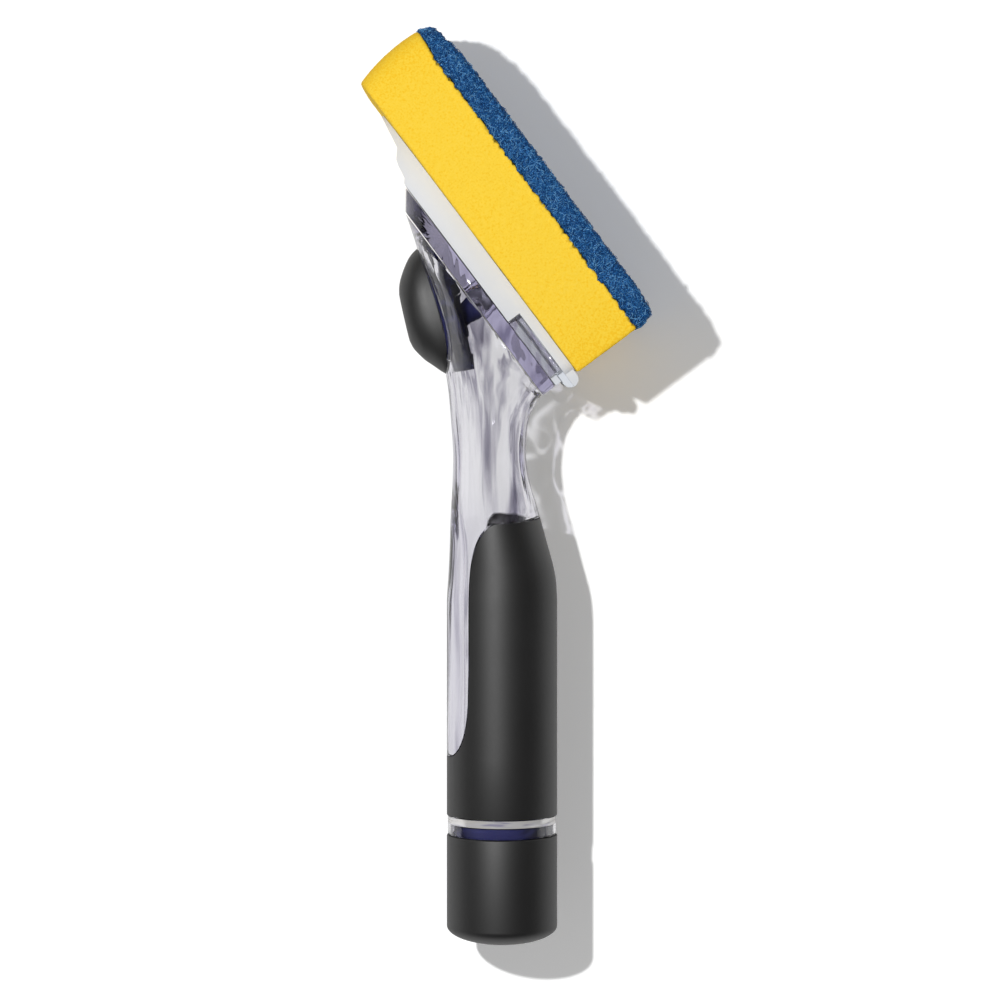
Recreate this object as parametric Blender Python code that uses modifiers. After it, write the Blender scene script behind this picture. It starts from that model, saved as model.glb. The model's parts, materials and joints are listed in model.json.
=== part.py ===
"""Dish scrubber with a soap-filled clear handle, a thumb button and a slide-off sponge head.

It lies on one side of its sponge, with the handle along +Y, the scouring face towards +X and +Y, and the
plane of symmetry level. Every piece is drawn in a frame of its own region: the handle's (z along the handle
from the end of the cap, +x towards the heel of the head), the head's (z out of the scouring face, y towards
the toe) or the button's (z out of the neck, y towards the toe). The pump's frame is the button's moved to the
pump's axis, and the outlet's is the head's moved to the outlet. In all of them one axis runs across the plane
of symmetry.
"""

import math

import bmesh
import bpy
from mathutils import Matrix, Vector

FIT_GAP = 0.0003
CUT_OVERRUN = 0.002
WELD_DISTANCE = 0.000001
SECTION_POINTS = 48

HANDLE_RADIUS = 0.016
CAP_LENGTH = 0.0316
COLLAR_LENGTH = 0.0059
COLLAR_STEP = 0.0003
GRIP_FOOT = 0.0169
GRIP_LENGTH = 0.0846
ROUND_LENGTH = 0.062
SHELL_WALL = 0.0022
NECK_WALL = 0.0024
WALL_CHANGE_LENGTH = 0.0196

NECK_LENGTH = 0.0594
HEEL_OFFSET = 0.0115
HEAD_TILT = math.radians(53.13)
NECK_FOOT_LENGTH = 0.0656
NECK_FOOT_HALF_WIDTH = 0.0215

# Each station of the neck: how far the back and heel edges have run and moved across, how far the half width
# has grown, all as shares of the way from the round handle to the foot on the head plate, and the share of
# squareness gained.
NECK_SHARES = (
    (0.0696, -0.039, 0.1314, 0.139, -0.018, 0.0),
    (0.1383, -0.069, 0.2611, 0.594, -0.055, 0.0),
    (0.2150, -0.091, 0.4060, 1.110, -0.109, 0.0),
    (0.3104, -0.141, 0.5861, 1.799, -0.164, 0.0),
    (0.3800, -0.151, 0.7176, 2.027, -0.182, 0.0),
    (0.4639, -0.103, 0.8338, 1.938, -0.127, 0.05),
    (0.5531, -0.026, 0.8977, 1.762, 0.036, 0.1),
    (0.6468, 0.137, 0.9382, 1.498, 0.273, 0.2),
    (0.7404, 0.336, 0.9651, 1.322, 0.545, 0.35),
    (0.8342, 0.543, 0.9803, 1.212, 0.800, 0.6),
    (0.9278, 0.774, 0.9887, 1.146, 0.950, 0.9),
    (1.0, 1.0, 1.0, 1.0, 1.0, 1.0),
)
ROUND_POWER = 2.0
FOOT_POWER = 2.7

GRIP_THICKNESS = 0.0018
WINDOW_HALF_ANGLE = math.radians(54)
WINDOW_END_LENGTH = 0.026
WINDOW_CORNER_LENGTH = 0.0175
WINDOW_CORNER_ANGLE = math.radians(93.8)
GRIP_TOP_RISE = 0.0014
WINDOW_END_SHARES = (0.5, 0.65, 0.8, 0.9, 0.96, 1.0)
WINDOW_CORNER_STEPS = 4
GRIP_COLUMNS = 36
GRIP_FRONT_COLUMNS = 6

CAP_WALL = 0.0018
CAP_DOME_HEIGHT = 0.0026
CAP_EDGE_RADIUS = 0.0027
CAP_FLOOR = 0.0022
CAP_RIM_CHAMFER = 0.0003
CORE_FOOT_RISE = 0.0009
PLUG_LENGTH = 0.0144
PLUG_WALL = 0.0022
PLUG_CHAMFER = 0.0008
GASKET_WIDTH = 0.0028
GASKET_HEIGHT = 0.0029
TURNED_STEPS = 48
ARC_STEPS = 5

THREAD_PITCH = 0.004
THREAD_START = 0.0069
THREAD_TURNS = 0.75
THREAD_HEIGHT = 0.0007
THREAD_WIDTH = 0.0016
THREAD_TIP_SHARE = 0.6
THREAD_CLEARANCE = 0.0004
THREAD_ROOT = 0.0004
THREAD_STEPS_PER_TURN = 32

BUTTON_PLACE_SHARE = 0.7489
BUTTON_LENGTH = 0.0376
BUTTON_WIDTH = 0.022
BUTTON_HEIGHT = 0.0084
BUTTON_SKIRT = 0.0062
BUTTON_SKIN = 0.0018
BUTTON_FOOT = 0.0012
BUTTON_END_SKIN = 0.0052
BUTTON_POINTS = 32
BUTTON_POWER = 2.25
# Each level of the dome: its height, where its toe end and its low end lie along the base, and its width,
# as shares.
BUTTON_SHARES = (
    (0.0, 0.0, 1.0, 1.0),
    (0.19, 0.025, 0.960, 0.985),
    (0.40, 0.065, 0.908, 0.945),
    (0.62, 0.130, 0.855, 0.865),
    (0.80, 0.195, 0.795, 0.745),
    (0.92, 0.255, 0.745, 0.590),
    (0.985, 0.315, 0.690, 0.400),
)

PUMP_OFFSET = -0.003
PUMP_BORE = 0.005
PUMP_WALL = 0.0012
PUMP_TOP_DEPTH = 0.0002
CUP_WALL = 0.0012
CUP_FLOOR_DEPTH = 0.0058
CUP_LIP_DEPTH = 0.0015
PRESS_TRAVEL = 0.0035
CORE_PLATE_HEIGHT = 0.004
STEM_RADIUS = 0.0026
PISTON_TOP_DEPTH = 0.0008
PISTON_HEIGHT = 0.0018
SEAL_HEIGHT = 0.001
SEAL_DEPTH = 0.001
SPRING_RADIUS = 0.0074
SPRING_WIRE_RADIUS = 0.0004
SPRING_TURNS = 4.5
SPRING_POINTS_PER_TURN = 10
FLAP_THICKNESS = 0.0004
FLAP_HOLE_RADIUS = 0.0019
INLET_RADIUS = 0.0006
INLET_CIRCLE_RADIUS = 0.0032
INLET_COUNT = 4
OUTLET_RADIUS = 0.0014
SPOUT_RADIUS = 0.0032
SPOUT_ROOT_SHARE = 0.8
SPOUT_SEAL_RADIUS = 0.0043
SPOUT_SEAL_HEIGHT = 0.0012

PLATE_THICKNESS = 0.0045
PLATE_LENGTH = 0.0718
PLATE_TOE_BEVEL = 0.0055
PLATE_HALF_WIDTH = 0.022
PLATE_HEEL_RADIUS = 0.004
PLATE_TOE_START_SHARE = 0.42
PLATE_TOE_POWER = 2.3
PLATE_ARC_STEPS = 4
PLATE_TOE_STEPS = 20
VALVE_RADIUS = 0.005
VALVE_THICKNESS = 0.0012
VALVE_SLIT_WIDTH = 0.0005
VALVE_SLIT_LENGTH = 0.0026
RETAINER_THICKNESS = 0.001
RETAINER_HOLE_RADIUS = 0.0033

LUG_LENGTH = 0.0214
LUG_HEEL_INSET = 0.001
LUG_HEIGHT = 0.004
LUG_WALL = 0.0014
LUG_LIP_WIDTH = 0.0032
LUG_LIP_THICKNESS = 0.0015
LUG_ROOT = 0.0008

REFILL_THICKNESS = 0.0073
REFILL_LENGTH = 0.0924
REFILL_HALF_WIDTH = 0.024
REFILL_LIP_LENGTH = 0.0033
REFILL_LIP_HALF_WIDTH = 0.0225
REFILL_LIP_THICKNESS = 0.0047
REFILL_LIP_TOP_INSET = 0.0003
# The underside towards the toe: shares of the length, and of the thickness left there.
REFILL_RAMP_SHARES = (
    (1.0, 0.07),
    (0.938, 0.21),
    (0.881, 0.35),
    (0.851, 0.686),
    (0.83, 0.767),
    (0.79, 0.863),
    (0.778, 1.0),
)
REFILL_TOE_START_SHARE = 0.62
REFILL_TOE_POWER = 2.4
REFILL_HOLE_RADIUS = 0.003

SPONGE_THICKNESS = 0.0206
SPONGE_HEEL_INSET = 0.0005
SPONGE_LENGTH = 0.1023
SPONGE_TOE_RISE = 0.0012
SPONGE_HEEL_HALF_WIDTH = 0.031
SPONGE_HALF_WIDTH = 0.033
SPONGE_CORNER_RADIUS = 0.008
SPONGE_EDGE_RADIUS = 0.0008
SPONGE_REST_CUT = 0.0005
SPONGE_SIDE_STEPS = 10
SPONGE_CORNER_STEPS = 4
PAD_THICKNESS = 0.0064
PAD_EDGE_RADIUS = 0.0015

BORE_RADIUS = HANDLE_RADIUS - GRIP_THICKNESS - FIT_GAP - SHELL_WALL
COLLAR_RADIUS = HANDLE_RADIUS - COLLAR_STEP
SHELL_BOTTOM = CAP_LENGTH + FIT_GAP
GRIP_BOTTOM = CAP_LENGTH + COLLAR_LENGTH
WINDOW_BOTTOM = GRIP_BOTTOM + GRIP_FOOT
GRIP_TOP = GRIP_BOTTOM + GRIP_LENGTH
NECK_START = GRIP_BOTTOM + ROUND_LENGTH
HEEL_HEIGHT = NECK_START + NECK_LENGTH
PLUG_RADIUS = BORE_RADIUS - FIT_GAP
GASKET_SEAT_RADIUS = BORE_RADIUS + GASKET_WIDTH + FIT_GAP
GASKET_SEAT_TOP = SHELL_BOTTOM + FIT_GAP + GASKET_HEIGHT
PISTON_BOTTOM_DEPTH = PISTON_TOP_DEPTH + PISTON_HEIGHT
PUMP_FLOOR_DEPTH = PISTON_BOTTOM_DEPTH + PRESS_TRAVEL + FLAP_THICKNESS + 2 * FIT_GAP
MID_HEIGHT = SPONGE_HALF_WIDTH - SPONGE_REST_CUT

BLACK_SOFT = (0.022, 0.022, 0.023)
CLEAR_VIOLET = (0.80, 0.79, 0.88)
NAVY = (0.028, 0.030, 0.095)
MILKY_WHITE = (0.79, 0.79, 0.79)
SPONGE_YELLOW = (0.98, 0.64, 0.03)
PAD_BLUE = (0.008, 0.05, 0.18)
SILICONE_GREY = (0.55, 0.55, 0.57)
STEEL_GREY = (0.56, 0.57, 0.58)


def clear_scene():
    for old in list(bpy.data.objects):
        bpy.data.objects.remove(old, do_unlink=True)


def new_collection(name, hidden):
    made = bpy.data.collections.new(name)
    bpy.context.scene.collection.children.link(made)
    made.hide_render = hidden
    return made


def new_material(name, color, roughness, metallic=0.0, transmission=0.0):
    made = bpy.data.materials.new(name)
    made.use_nodes = True
    shader = made.node_tree.nodes["Principled BSDF"]
    shader.inputs["Base Color"].default_value = (*color, 1.0)
    shader.inputs["Roughness"].default_value = roughness
    shader.inputs["Metallic"].default_value = metallic
    shader.inputs["Transmission Weight"].default_value = transmission
    made.diffuse_color = (*color, 1.0)
    return made


def new_frame(name, parent, origin, along, out):
    """An empty whose z runs along out and whose y runs along along, both in its parent's frame."""
    frame = bpy.data.objects.new(name, None)
    parts.objects.link(frame)
    frame.parent = parent
    across = along.cross(out)
    frame.matrix_local = Matrix.Translation(origin) @ Matrix((across, along, out)).transposed().to_4x4()
    return frame


def add_object(name, mesh, frame, material):
    """A part when it is given a material, else a cutter or a guide."""
    made = bpy.data.objects.new(name, mesh)
    if material:
        mesh.materials.append(material)
        parts.objects.link(made)
    else:
        cutters.objects.link(made)
        made.hide_render = True
        made.display_type = "WIRE"
    made.parent = frame
    return made


def shade(made, sharp_angle=math.radians(35)):
    made.data.shade_smooth()
    made.data.set_sharp_from_angle(angle=sharp_angle)
    return made


def combine(target, tool, operation="DIFFERENCE"):
    joined = target.modifiers.new(operation.lower(), "BOOLEAN")
    joined.operation = operation
    joined.solver = "EXACT"
    joined.object = tool
    return target


def round_edges(made, radius, segments, angle=math.radians(50)):
    bevel = made.modifiers.new("rounded edges", "BEVEL")
    bevel.width = radius
    bevel.segments = segments
    bevel.limit_method = "ANGLE"
    bevel.angle_limit = angle
    return made


def loft(name, rings, frame, material=None):
    """A closed solid through rings of the same number of points, capped at both ends."""
    mesh = bpy.data.meshes.new(name)
    skin = bmesh.new()
    rows = [[skin.verts.new(point) for point in ring] for ring in rings]
    count = len(rings[0])
    for low, high in zip(rows, rows[1:]):
        for k in range(count):
            following = (k + 1) % count
            skin.faces.new((low[k], low[following], high[following], high[k]))
    skin.faces.new(rows[0][::-1])
    skin.faces.new(rows[-1])
    bmesh.ops.recalc_face_normals(skin, faces=skin.faces)
    skin.to_mesh(mesh)
    skin.free()
    return add_object(name, mesh, frame, material)


def turned(name, profile, frame, material=None, steps=TURNED_STEPS):
    """A solid turned about z from (radius, height) points that run down its outer side."""
    mesh = bpy.data.meshes.new(name)
    points = [(radius, 0, height) for radius, height in profile]
    mesh.from_pydata(points, [(k, k + 1) for k in range(len(points) - 1)], [])
    made = add_object(name, mesh, frame, material)
    screw = made.modifiers.new("turned", "SCREW")
    screw.axis = "Z"
    screw.steps = steps
    screw.render_steps = steps
    screw.use_merge_vertices = True
    screw.merge_threshold = WELD_DISTANCE
    screw.use_smooth_shade = True
    return made


def closed_profile(profile):
    return [*profile, profile[0]]


def slab(name, outline, low, high, frame, material=None):
    """A flat outline in x and y, from z = low to z = high."""
    flat = bpy.data.curves.new(name, "CURVE")
    flat.dimensions = "2D"
    flat.fill_mode = "BOTH"
    flat.extrude = (high - low) / 2
    line = flat.splines.new("POLY")
    line.points.add(len(outline) - 1)
    for point, (x, y) in zip(line.points, outline):
        point.co = (x, y, 0, 1)
    line.use_cyclic_u = True
    guide = bpy.data.objects.new(name, flat)
    cutters.objects.link(guide)
    bpy.context.view_layer.update()
    mesh = bpy.data.meshes.new_from_object(guide.evaluated_get(bpy.context.evaluated_depsgraph_get()))
    bpy.data.objects.remove(guide, do_unlink=True)
    bpy.data.curves.remove(flat)
    mesh.transform(Matrix.Translation((0, 0, (low + high) / 2)))
    mesh.materials.clear()
    welded = bmesh.new()
    welded.from_mesh(mesh)
    bmesh.ops.remove_doubles(welded, verts=welded.verts, dist=WELD_DISTANCE)
    bmesh.ops.recalc_face_normals(welded, faces=welded.faces)
    welded.to_mesh(mesh)
    welded.free()
    mesh.name = name
    return add_object(name, mesh, frame, material)


def rod(name, radius, low, high, frame, center=(0, 0), material=None, sides=24):
    """A cylinder along z."""
    mesh = bpy.data.meshes.new(name)
    body = bmesh.new()
    middle = Matrix.Translation((center[0], center[1], (low + high) / 2))
    bmesh.ops.create_cone(
        body, cap_ends=True, segments=sides, radius1=radius, radius2=radius, depth=high - low, matrix=middle
    )
    body.to_mesh(mesh)
    body.free()
    return add_object(name, mesh, frame, material)


def block(name, low, high, frame, material=None):
    mesh = bpy.data.meshes.new(name)
    body = bmesh.new()
    middle = (Vector(low) + Vector(high)) / 2
    size = Vector(high) - Vector(low)
    bmesh.ops.create_cube(body, size=1.0, matrix=Matrix.Translation(middle) @ Matrix.Diagonal((*size, 1.0)))
    body.to_mesh(mesh)
    body.free()
    return add_object(name, mesh, frame, material)


def arc(center, radius, start, end, steps):
    """Points of an arc in a profile or an outline, both ends included."""
    return [
        (
            center[0] + radius * math.cos(start + (end - start) * k / steps),
            center[1] + radius * math.sin(start + (end - start) * k / steps),
        )
        for k in range(steps + 1)
    ]


def signed_power(value, power):
    return math.copysign(abs(value) ** power, value)


def head_point(along, out):
    """A point on the plane of symmetry, in the handle's frame, from its place in the head's frame."""
    heel = Vector((HEEL_OFFSET, 0, HEEL_HEIGHT))
    return heel + along * TOEWARD + out * SCOUR_NORMAL


def neck_stations():
    """(back point, heel point, half width, power) from the end of the round handle to the foot."""
    back_start, heel_start = Vector((-HANDLE_RADIUS, 0, NECK_START)), Vector((HANDLE_RADIUS, 0, NECK_START))
    toe, heel = head_point(NECK_FOOT_LENGTH, 0), head_point(0, 0)
    stations = [(back_start, heel_start, HANDLE_RADIUS, ROUND_POWER)]
    for back_run, back_shift, heel_run, heel_shift, growth, squareness in NECK_SHARES:
        back = Vector(
            (
                back_start.x + back_shift * (toe.x - back_start.x),
                0,
                back_start.z + back_run * (toe.z - back_start.z),
            )
        )
        front = Vector(
            (
                heel_start.x + heel_shift * (heel.x - heel_start.x),
                0,
                heel_start.z + heel_run * (heel.z - heel_start.z),
            )
        )
        half_width = HANDLE_RADIUS + growth * (NECK_FOOT_HALF_WIDTH - HANDLE_RADIUS)
        stations.append((back, front, half_width, ROUND_POWER + squareness * (FOOT_POWER - ROUND_POWER)))
    return stations


def inset_stations(stations, inset):
    """The same stations moved in by inset, measured square to the surface."""
    moved = []
    for k, (back, heel, half_width, power) in enumerate(stations):
        before, after = stations[max(k - 1, 0)], stations[min(k + 1, len(stations) - 1)]
        inward = (heel - back).normalized()
        back_run = (after[0] - before[0]).normalized()
        heel_run = (after[1] - before[1]).normalized()
        back_step = inset / abs(back_run.cross(inward).y)
        heel_step = inset / abs(heel_run.cross(inward).y)
        moved.append((back + inward * back_step, heel - inward * heel_step, half_width - inset, power))
    return moved


def section_ring(station, count=SECTION_POINTS):
    back, heel, half_width, power = station
    middle, half = (back + heel) / 2, (heel - back) / 2
    ring = []
    for k in range(count):
        turn = 2 * math.pi * k / count
        lengthwise = signed_power(math.cos(turn), 2 / power)
        crosswise = signed_power(math.sin(turn), 2 / power)
        ring.append(middle + half * lengthwise + Vector((0, half_width * crosswise, 0)))
    return ring


def round_ring(radius, height, count=SECTION_POINTS):
    return [Vector((x, y, height)) for x, y in arc((0, 0), radius, 0, 2 * math.pi, count)[:-1]]


def neck_solid(name, inset):
    """The neck's outer form, moved in by inset, with the last of the round handle below it."""
    stations = inset_stations(neck_stations(), inset)
    below = round_ring(HANDLE_RADIUS - inset, NECK_START - HANDLE_RADIUS)
    return loft(name, [below, *map(section_ring, stations)], handle_frame)


def head_side(name, depth):
    """Everything on the head's side of a plane that lies depth below the neck's foot."""
    reach = NECK_FOOT_LENGTH
    return block(name, (-reach, -reach, -depth), (reach, 2 * reach, reach), head_frame)


def back_point(share):
    """The point on the neck's back edge at a share of its run from the round handle to the toe."""
    stations = neck_stations()
    low, high = stations[0][0], stations[-1][0]
    height = low.z + share * (high.z - low.z)
    for (before, *_), (after, *_) in zip(stations, stations[1:]):
        if before.z <= height <= after.z:
            return before.lerp(after, (height - before.z) / (after.z - before.z))
    return high


def window_end(share, gap):
    """The height of the window's blunt low end, at a share of its half angle."""
    return WINDOW_BOTTOM + gap + WINDOW_END_LENGTH * (1 - (1 - share**4) ** (1 / 3))


def grip_rows(gap):
    """(height, angle of the window's edge, share of the top edge's tilt), from the foot to the top edge."""
    half_angle = WINDOW_HALF_ANGLE - gap / HANDLE_RADIUS
    rows = [(GRIP_BOTTOM - gap, half_angle * WINDOW_END_SHARES[0], 0.0)]
    for share in WINDOW_END_SHARES:
        rows.append((window_end(share, gap), half_angle * share, 0.0))
    corner_angle = WINDOW_CORNER_ANGLE - gap / HANDLE_RADIUS
    corner_start = GRIP_TOP - WINDOW_CORNER_LENGTH
    for k in range(WINDOW_CORNER_STEPS + 1):
        turn = math.pi / 2 * k / WINDOW_CORNER_STEPS
        height = corner_start + (WINDOW_CORNER_LENGTH + gap) * math.sin(turn)
        angle = corner_angle - (corner_angle - half_angle) * math.cos(turn)
        rows.append((height, angle, k / WINDOW_CORNER_STEPS))
    return rows


def handle_surface(height, angle):
    """A point of the handle's surface at an angle from the window's middle line."""
    stations = [s for s in neck_stations() if abs(s[0].z - s[1].z) < FIT_GAP]
    back, heel, half_width = stations[0][:3]
    for before, after in zip(stations, stations[1:]):
        if before[0].z <= height <= after[0].z:
            share = (height - before[0].z) / (after[0].z - before[0].z)
            back = before[0].lerp(after[0], share)
            heel = before[1].lerp(after[1], share)
            half_width = before[2] + share * (after[2] - before[2])
    middle, half = (back.x + heel.x) / 2, (heel.x - back.x) / 2
    return Vector((middle - half * math.cos(angle), half_width * math.sin(angle), height))


def grip_skin(name, gap, outwards, inwards, material=None):
    """The sleeve's outer face as an open sheet, grown at its edges by gap and thickened both ways."""
    mesh = bpy.data.meshes.new(name)
    skin = bmesh.new()
    grid = []
    for height, edge, tilt in grip_rows(gap):
        row = []
        for k in range(GRIP_COLUMNS + 1):
            angle = edge + (2 * math.pi - 2 * edge) * k / GRIP_COLUMNS
            from_edge = 1 - abs(angle - math.pi) / (math.pi - edge)
            row.append(skin.verts.new(handle_surface(height + tilt * GRIP_TOP_RISE * from_edge, angle)))
        grid.append(row)
    for low, high in zip(grid, grid[1:]):
        for k in range(GRIP_COLUMNS):
            skin.faces.new((low[k], low[k + 1], high[k + 1], high[k]))
    edge = grip_rows(gap)[0][1]
    front = []
    for k in range(GRIP_FRONT_COLUMNS + 1):
        side_share = 2 * k / GRIP_FRONT_COLUMNS - 1
        angle = edge * side_share
        ends = (GRIP_BOTTOM - gap, window_end(abs(side_share) * WINDOW_END_SHARES[0], gap))
        front.append([skin.verts.new(handle_surface(height, angle)) for height in ends])
    for (low, high), (next_low, next_high) in zip(front, front[1:]):
        skin.faces.new((low, next_low, next_high, high))
    bmesh.ops.remove_doubles(skin, verts=skin.verts, dist=WELD_DISTANCE)
    bmesh.ops.recalc_face_normals(skin, faces=skin.faces)
    back = max(skin.faces, key=lambda face: face.calc_center_median().x)
    if back.normal.x < 0:
        bmesh.ops.reverse_faces(skin, faces=skin.faces)
    skin.to_mesh(mesh)
    skin.free()
    made = add_object(name, mesh, handle_frame, material)
    wall = made.modifiers.new("wall", "SOLIDIFY")
    wall.thickness = outwards + inwards
    wall.offset = (outwards - inwards) / (outwards + inwards)
    return made


def thread_ridge(name, root, tip, width, clearance, start, turns, material=None):
    """A ridge of trapezium section along a right-hand helix about z, from the radius root out to tip."""
    steps = math.ceil(turns * THREAD_STEPS_PER_TURN)
    rings = []
    for k in range(steps + 1):
        turn = 2 * math.pi * turns * k / steps
        height = start + THREAD_PITCH * turns * k / steps
        outward = Vector((math.cos(turn), math.sin(turn), 0))
        foot, crest = width / 2 + clearance, width * THREAD_TIP_SHARE / 2 + clearance
        section = ((root, -foot), (tip, -crest), (tip, crest), (root, foot))
        rings.append([outward * radius + Vector((0, 0, height + rise)) for radius, rise in section])
    return loft(name, rings, handle_frame, material)


def soap_space():
    """The hollow of the handle and the neck, with a thinner wall above the grip."""
    stations = neck_stations()
    handle_wall = HANDLE_RADIUS - BORE_RADIUS
    change_start = stations[2][0].z
    inside = []
    for k, (back, *_) in enumerate(stations):
        changed = min(1, max(0, (back.z - change_start) / WALL_CHANGE_LENGTH))
        wall = handle_wall + (NECK_WALL - handle_wall) * changed
        inside.append(inset_stations(stations, wall)[k])
    back, heel, half_width, power = inside[-1]
    overrun = SCOUR_NORMAL * CUT_OVERRUN
    inside.append((back + overrun, heel + overrun, half_width, power))
    bore = round_ring(BORE_RADIUS, SHELL_BOTTOM - CUT_OVERRUN)
    return loft("soap_space", [bore, *map(section_ring, inside)], handle_frame)


def make_handle_shell():
    stations = neck_stations()
    low = [
        round_ring(COLLAR_RADIUS, SHELL_BOTTOM),
        round_ring(COLLAR_RADIUS, GRIP_BOTTOM),
        round_ring(HANDLE_RADIUS, GRIP_BOTTOM + GRIP_THICKNESS),
    ]
    shell = loft("handle_shell", [*low, *map(section_ring, stations)], handle_frame, clear_plastic)
    recess = grip_skin("grip_recess", FIT_GAP, CUT_OVERRUN, GRIP_THICKNESS + FIT_GAP)
    combine(shell, recess)

    combine(shell, soap_space())

    seat_low = SHELL_BOTTOM - CUT_OVERRUN
    seat = rod("gasket_seat", GASKET_SEAT_RADIUS, seat_low, GASKET_SEAT_TOP, handle_frame, sides=TURNED_STEPS)
    combine(shell, seat)
    groove_low = GASKET_SEAT_TOP - THREAD_WIDTH / 2 - THREAD_CLEARANCE
    groove_turns = THREAD_TURNS + (SHELL_BOTTOM + THREAD_START - groove_low) / THREAD_PITCH
    groove = thread_ridge(
        "thread_groove",
        BORE_RADIUS - THREAD_ROOT,
        BORE_RADIUS + THREAD_HEIGHT,
        THREAD_WIDTH,
        THREAD_CLEARANCE,
        groove_low,
        groove_turns + THREAD_CLEARANCE / (2 * math.pi * BORE_RADIUS),
    )
    groove.rotation_euler.z = -2 * math.pi * (groove_turns - THREAD_TURNS)
    combine(shell, groove)

    opening = slab(
        "button_opening",
        button_outline(FIT_GAP),
        -PUMP_FLOOR_DEPTH - PUMP_WALL - FIT_GAP,
        BUTTON_HEIGHT,
        button_frame,
    )
    combine(shell, opening)
    return shade(shell)


def button_outline(growth):
    """The dome's foot print, an oval with full sides, grown all round by growth."""
    half_length, half_width = BUTTON_LENGTH / 2 + growth, BUTTON_WIDTH / 2 + growth
    points = []
    for k in range(BUTTON_POINTS):
        turn = 2 * math.pi * k / BUTTON_POINTS
        points.append(
            (
                half_width * signed_power(math.cos(turn), 2 / BUTTON_POWER),
                half_length * signed_power(math.sin(turn), 2 / BUTTON_POWER),
            )
        )
    return points


def dome_rings(side_inset, end_inset, top_inset, bottom):
    """Rings of the dome moved in from its face, down to the height bottom."""
    toe_end, low_end = BUTTON_LENGTH / 2, -BUTTON_LENGTH / 2
    rings = []
    for height, toe_share, low_share, width_share in BUTTON_SHARES:
        toe = toe_end - toe_share * BUTTON_LENGTH - end_inset
        low = toe_end - low_share * BUTTON_LENGTH + end_inset * (1 - height / 2)
        half_width = max(width_share * BUTTON_WIDTH / 2 - side_inset, side_inset / 2)
        level = height * (BUTTON_HEIGHT - top_inset)
        ring = []
        for k in range(BUTTON_POINTS):
            turn = 2 * math.pi * k / BUTTON_POINTS
            x = half_width * signed_power(math.cos(turn), 2 / BUTTON_POWER)
            y = (toe + low) / 2 + (toe - low) / 2 * signed_power(math.sin(turn), 2 / BUTTON_POWER)
            ring.append(Vector((x, y, level)))
        rings.append(ring)
    if bottom > 0:
        kept = [ring for ring in rings if ring[0].z > bottom]
        first = rings[len(rings) - len(kept) - 1]
        share = (bottom - first[0].z) / (kept[0][0].z - first[0].z)
        return [[a.lerp(b, share) for a, b in zip(first, kept[0])], *kept]
    foot = [Vector((point.x, point.y, bottom)) for point in rings[0]]
    return [foot, *rings]


def make_button():
    cover = loft("button_cover", dome_rings(0, 0, 0, -BUTTON_SKIRT), button_frame, black_soft)
    combine(cover, neck_solid("cover_seat", BUTTON_FOOT))
    combine(cover, head_side("cover_limit", FIT_GAP))
    hollow = loft(
        "cover_hollow",
        dome_rings(BUTTON_SKIN, BUTTON_END_SKIN, BUTTON_SKIN, -BUTTON_SKIRT - CUT_OVERRUN),
        button_frame,
    )
    combine(cover, hollow)
    shade(cover, math.radians(60))

    skin = BUTTON_SKIN + FIT_GAP
    core = loft(
        "button_core",
        dome_rings(skin, BUTTON_END_SKIN + FIT_GAP, skin, CORE_PLATE_HEIGHT),
        button_frame,
        navy_plastic,
    )
    piston_top = -PISTON_TOP_DEPTH
    stem_high = CORE_PLATE_HEIGHT + BUTTON_SKIN
    stem = rod("core_stem", STEM_RADIUS, piston_top + FIT_GAP, stem_high, button_frame, (0, PUMP_OFFSET))
    combine(core, stem, "UNION")
    peg_low = piston_top - PISTON_HEIGHT / 2
    peg = rod("core_peg", STEM_RADIUS / 2, peg_low, stem_high, button_frame, (0, PUMP_OFFSET))
    combine(core, peg, "UNION")
    shade(core, math.radians(60))

    seal_radius = PUMP_BORE - FIT_GAP
    piston_radius = seal_radius - FIT_GAP
    groove_radius = seal_radius - SEAL_DEPTH
    groove_top = piston_top - (PISTON_HEIGHT - SEAL_HEIGHT) / 2 + FIT_GAP / 2
    groove_bottom = groove_top - SEAL_HEIGHT
    bore = STEM_RADIUS / 2 + FIT_GAP
    floor = peg_low - FIT_GAP
    piston_profile = [
        (0, floor),
        (bore, floor),
        (bore, piston_top),
        (piston_radius, piston_top),
        (piston_radius, groove_top),
        (groove_radius, groove_top),
        (groove_radius, groove_bottom),
        (piston_radius, groove_bottom),
        (piston_radius, -PISTON_BOTTOM_DEPTH),
        (0, -PISTON_BOTTOM_DEPTH),
    ]
    turned("pump_piston", piston_profile, pump_frame, navy_plastic, BUTTON_POINTS)
    seal_inner = groove_radius + FIT_GAP
    seal_high, seal_low = groove_top - FIT_GAP / 2, groove_bottom + FIT_GAP / 2
    seal_profile = closed_profile(
        [(seal_inner, seal_high), (seal_radius, seal_high), (seal_radius, seal_low), (seal_inner, seal_low)]
    )
    turned("piston_seal", seal_profile, pump_frame, silicone, BUTTON_POINTS)


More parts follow.
